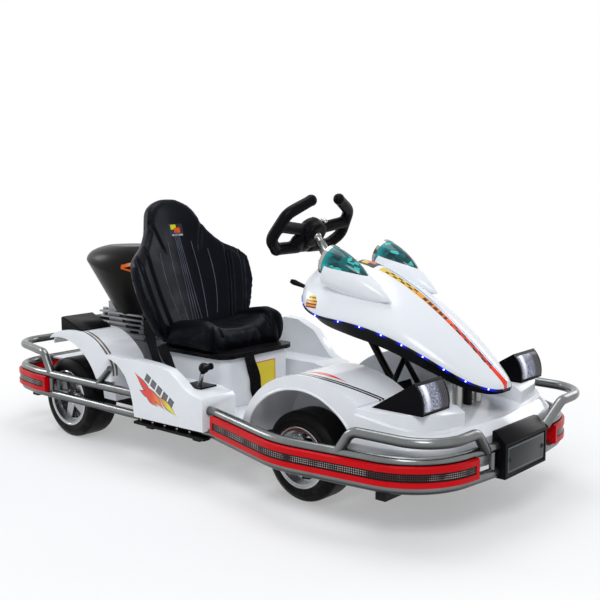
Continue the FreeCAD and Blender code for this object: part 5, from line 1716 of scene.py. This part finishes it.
# %% Tyre finish
def make_ring_group():
    """Shallow rings about an axle that lies along Y."""
    group, start, end = new_group("moulded_rings", {"Axle X": 0.0, "Axle Z": 0.127}, ["Height"])
    x, y, z = axes(group)
    across = math_node(group, "SUBTRACT", x, start.outputs["Axle X"])
    up = math_node(group, "SUBTRACT", z, start.outputs["Axle Z"])
    square = math_node(group, "MULTIPLY_ADD", across, across, math_node(group, "MULTIPLY", up, up))
    wave = math_node(group, "MULTIPLY", math_node(group, "SQRT", square), 1100.0)
    group.links.new(ramp(group, math_node(group, "SINE", wave), 0.3, 0.9), end.inputs["Height"])
    return group


moulded_rings = make_ring_group()


def tyre_rubber(name, axle):
    material = finish(name, (0.0045, 0.0045, 0.005), 0.4, specular=0.07, bump=0.08, dust=0.06,
                      scuff=0.2)
    tree = material.node_tree
    rings = place_group(tree, moulded_rings, Axle_X=axle.x, Axle_Z=axle.z)
    raise_surface(tree, tree.nodes["Principled BSDF"], rings.outputs["Height"], 0.5, 0.0006)
    return material


front_rubber = tyre_rubber("front_rubber", middle("front_tyre_right"))
dress("front_tyre_right", front_rubber)
dress("front_tyre_left", front_rubber)
dress("rear_tyres", tyre_rubber("rear_rubber", middle("rear_tyres")))
print("tyres done")

# %% Lips, nuts and valves
DISC_INSET, NUT_CIRCLE, NUTS = 0.024, 0.0245, 5
rim_bright = finish("rim_bright", (0.62, 0.62, 0.63), 0.14, metallic=1.0, bump=0.02, dust=0.08)


def ring_lip(place, major, minor):
    """The rolled edge of a rim: a ring about an axle that lies along Y."""
    clear_selection()
    bpy.ops.mesh.primitive_torus_add(location=place, rotation=(math.pi / 2, 0, 0),
                                     major_radius=major, minor_radius=minor,
                                     major_segments=72, minor_segments=10)
    return settle(bpy.context.object)


def wheel_trim(rim_name, side):
    """The small bright parts of one wheel, on its outer face."""
    axle, radius = middle(rim_name), (high(rim_name).z - low(rim_name).z) / 2
    face = low(rim_name).y if side < 0 else high(rim_name).y
    outward = Vector((0, side, 0))
    parts = [ring_lip(Vector((axle.x, face - side * 0.0015, axle.z)), radius - 0.0035, 0.0022)]
    for i in range(NUTS):
        turn = math.radians(36 + 72 * i)
        place = Vector((axle.x + NUT_CIRCLE * math.sin(turn), face - side * DISC_INSET,
                        axle.z + NUT_CIRCLE * math.cos(turn)))
        parts.append(round_bar(place, outward, 0.0052, 0.012, sides=6, edge=0.0008))
    stem = Vector((axle.x, face - side * 0.010, axle.z + radius - 0.020))
    parts.append(round_bar(stem, outward + Vector((0, 0, -0.4)), 0.0028, 0.018, edge=0.0006))
    return parts


for name, body, wheels in (
        ("wheel_trim_right", "front_wheel_right", (("front_rim_right", -1),)),
        ("wheel_trim_left", "front_wheel_left", (("front_rim_left", 1),)),
        ("wheel_trim_rear", "rear_axle", (("rear_rims", -1), ("rear_rims", 1)))):
    parts = [part for wheel_side in wheels for part in wheel_trim(*wheel_side)]
    finish_piece(smooth(join(name, parts)), name, rim_bright, body)

# %% [markdown]
# ## Screws and small controls
# The black sills are held by round-headed screws, and a little paddle switch sticks out behind
# the nose. One screw is modelled and set down wherever a ray from outside meets the sill.

# %% Sill screws and switch
SILL_LOW, SILL_HIGH = low("side_rails"), high("side_rails")
SILL_SCREWS, SCREW_UP, SCREW_R = 6, 0.012, 0.0048


def sill_screws():
    """Six screws along the outer face of each sill, where a ray meets it."""
    heads = []
    for side in (-1, 1):
        for i in range(SILL_SCREWS):
            x_at = SILL_LOW.x + (SILL_HIGH.x - SILL_LOW.x) * (0.06 + 0.176 * i)
            found = cast("side_rails", Vector((x_at, side * 0.6, SILL_LOW.z + SCREW_UP)),
                         Vector((0, -side, 0)))
            if found:
                heads.append(dome_screw(found[0], (0, side, 0), SCREW_R))
    return heads


def paddle_switch(root, tip, radius):
    """A tapered stalk that ends in a flat rounded paddle."""
    root, tip = Vector(root), Vector(tip)
    points = [root, root.lerp(tip, 0.4), root.lerp(tip, 0.8), tip]
    stalk = tube_along(points, [radius * 0.55, radius * 0.75, radius, radius * 0.7], sides=3)
    return smooth(stalk, 60)


screws = sill_screws()
print(len(screws), "sill screws")
if screws:
    finish_piece(smooth(join("sill_screws", screws)), "sill_screws", chrome, "chassis")
switch = paddle_switch((FRONT_AXLE.x - 0.126, -0.102, 0.566), (FRONT_AXLE.x - 0.174, -0.121, 0.584),
                       0.0085)
finish_piece(switch, "nose_switch", trim_black, "chassis")

# %% [markdown]
# ## Softer edges on the moulded shells
# Moulded plastic has no sharp edges, and a thin highlight along each rounded edge is what makes a
# shell look moulded. The solids are kept sharp because they are simpler so. A copy of each has
# its flat faces joined up, so that only real edges are left, and a bevel rounds them.

# %% Rounded shells
def rounded_shell(name, node, material, width):
    """A copy of a moulded shell with its sharp edges rounded over."""
    shell = copy_of(node)
    pick(shell)
    bpy.ops.object.mode_set(mode="EDIT")
    bpy.ops.mesh.select_all(action="SELECT")
    bpy.ops.mesh.dissolve_limited(angle_limit=math.radians(1.0))
    bpy.ops.object.mode_set(mode="OBJECT")
    apply_modifier(shell, "BEVEL", width=width, segments=3, limit_method="ANGLE",
                   angle_limit=math.radians(40), use_clamp_overlap=True)
    return finish_piece(smooth(shell), name, material, "chassis", [node])


rounded_shell("pod_shells", "side_pods", pod_white, 0.006)
rounded_shell("box_shell", "seat_box", box_white, 0.006)
rounded_shell("deck_shell", "front_deck", body_white, 0.006)
rounded_shell("rear_fender_shells", "rear_fenders", rear_white, 0.003)
rounded_shell("floor_shell", "floor_pan", body_white, 0.004)
rounded_shell("tail_shells", "tail_boxes", trim_black, 0.003)

# %% [markdown]
# ## Ribs on the lamp bezels
# The bright bezel behind each teal lens is ribbed all round. Each rib is a thin bar that leans
# with the bezel. Rays cast at it from a ring of places round its middle find where the ribs lie.

# %% Bezel ribs
RIBS_ROUND = 16
BEZEL_LEAN_X, BEZEL_LEAN_Z = 0.5, 0.87


def bezel_ribs():
    """Short raised ribs round each lamp's bright bezel, where rays meet it."""
    ribs = []
    for side in (-1, 1):
        half = [v.co for v in nodes["nose_lamp_bezels"].data.vertices if v.co.y * side > 0]
        heart = sum(half, Vector()) / len(half)
        spread = Vector((BEZEL_LEAN_X, 0.0, -BEZEL_LEAN_Z))
        for i in range(RIBS_ROUND):
            turn = math.radians(360 / RIBS_ROUND * i)
            out = Vector((math.cos(turn) * BEZEL_LEAN_Z, math.sin(turn),
                          math.cos(turn) * BEZEL_LEAN_X))
            found = cast("nose_lamp_bezels", heart + out * 0.12, -out)
            if found and found[1].dot(out) > 0.5 and (found[0] - heart).length < 0.1:
                ribs.append(round_bar(found[0], spread, 0.0016, 0.011, sides=8))
    return ribs


ribs = bezel_ribs()
print(len(ribs), "bezel ribs")
if ribs:
    finish_piece(smooth(join("bezel_ribs", ribs)), "bezel_ribs", chrome, "chassis")

# %% [markdown]
# ## Beads round the front arches
# The shell's edge is rolled round each front arch, so a thin white bead follows the opening.

# %% Fender beads
BEAD_OUT, BEAD_R = 0.3285, 0.0042
# Points round the opening: (distance ahead of the front axle, height).
ARCH = ((-0.155, 0.168), (-0.143, 0.225), (-0.110, 0.272), (-0.055, 0.309), (0.015, 0.328),
        (0.085, 0.324), (0.145, 0.300), (0.195, 0.262), (0.225, 0.215))
beads = []
for side in (-1, 1):
    points = [(FRONT_AXLE.x + ahead, side * BEAD_OUT, up) for ahead, up in ARCH]
    beads.append(tube_along(points, [BEAD_R] * len(points), sides=2))
finish_piece(smooth(join("fender_beads", beads), 60), "fender_beads", body_white, "chassis")
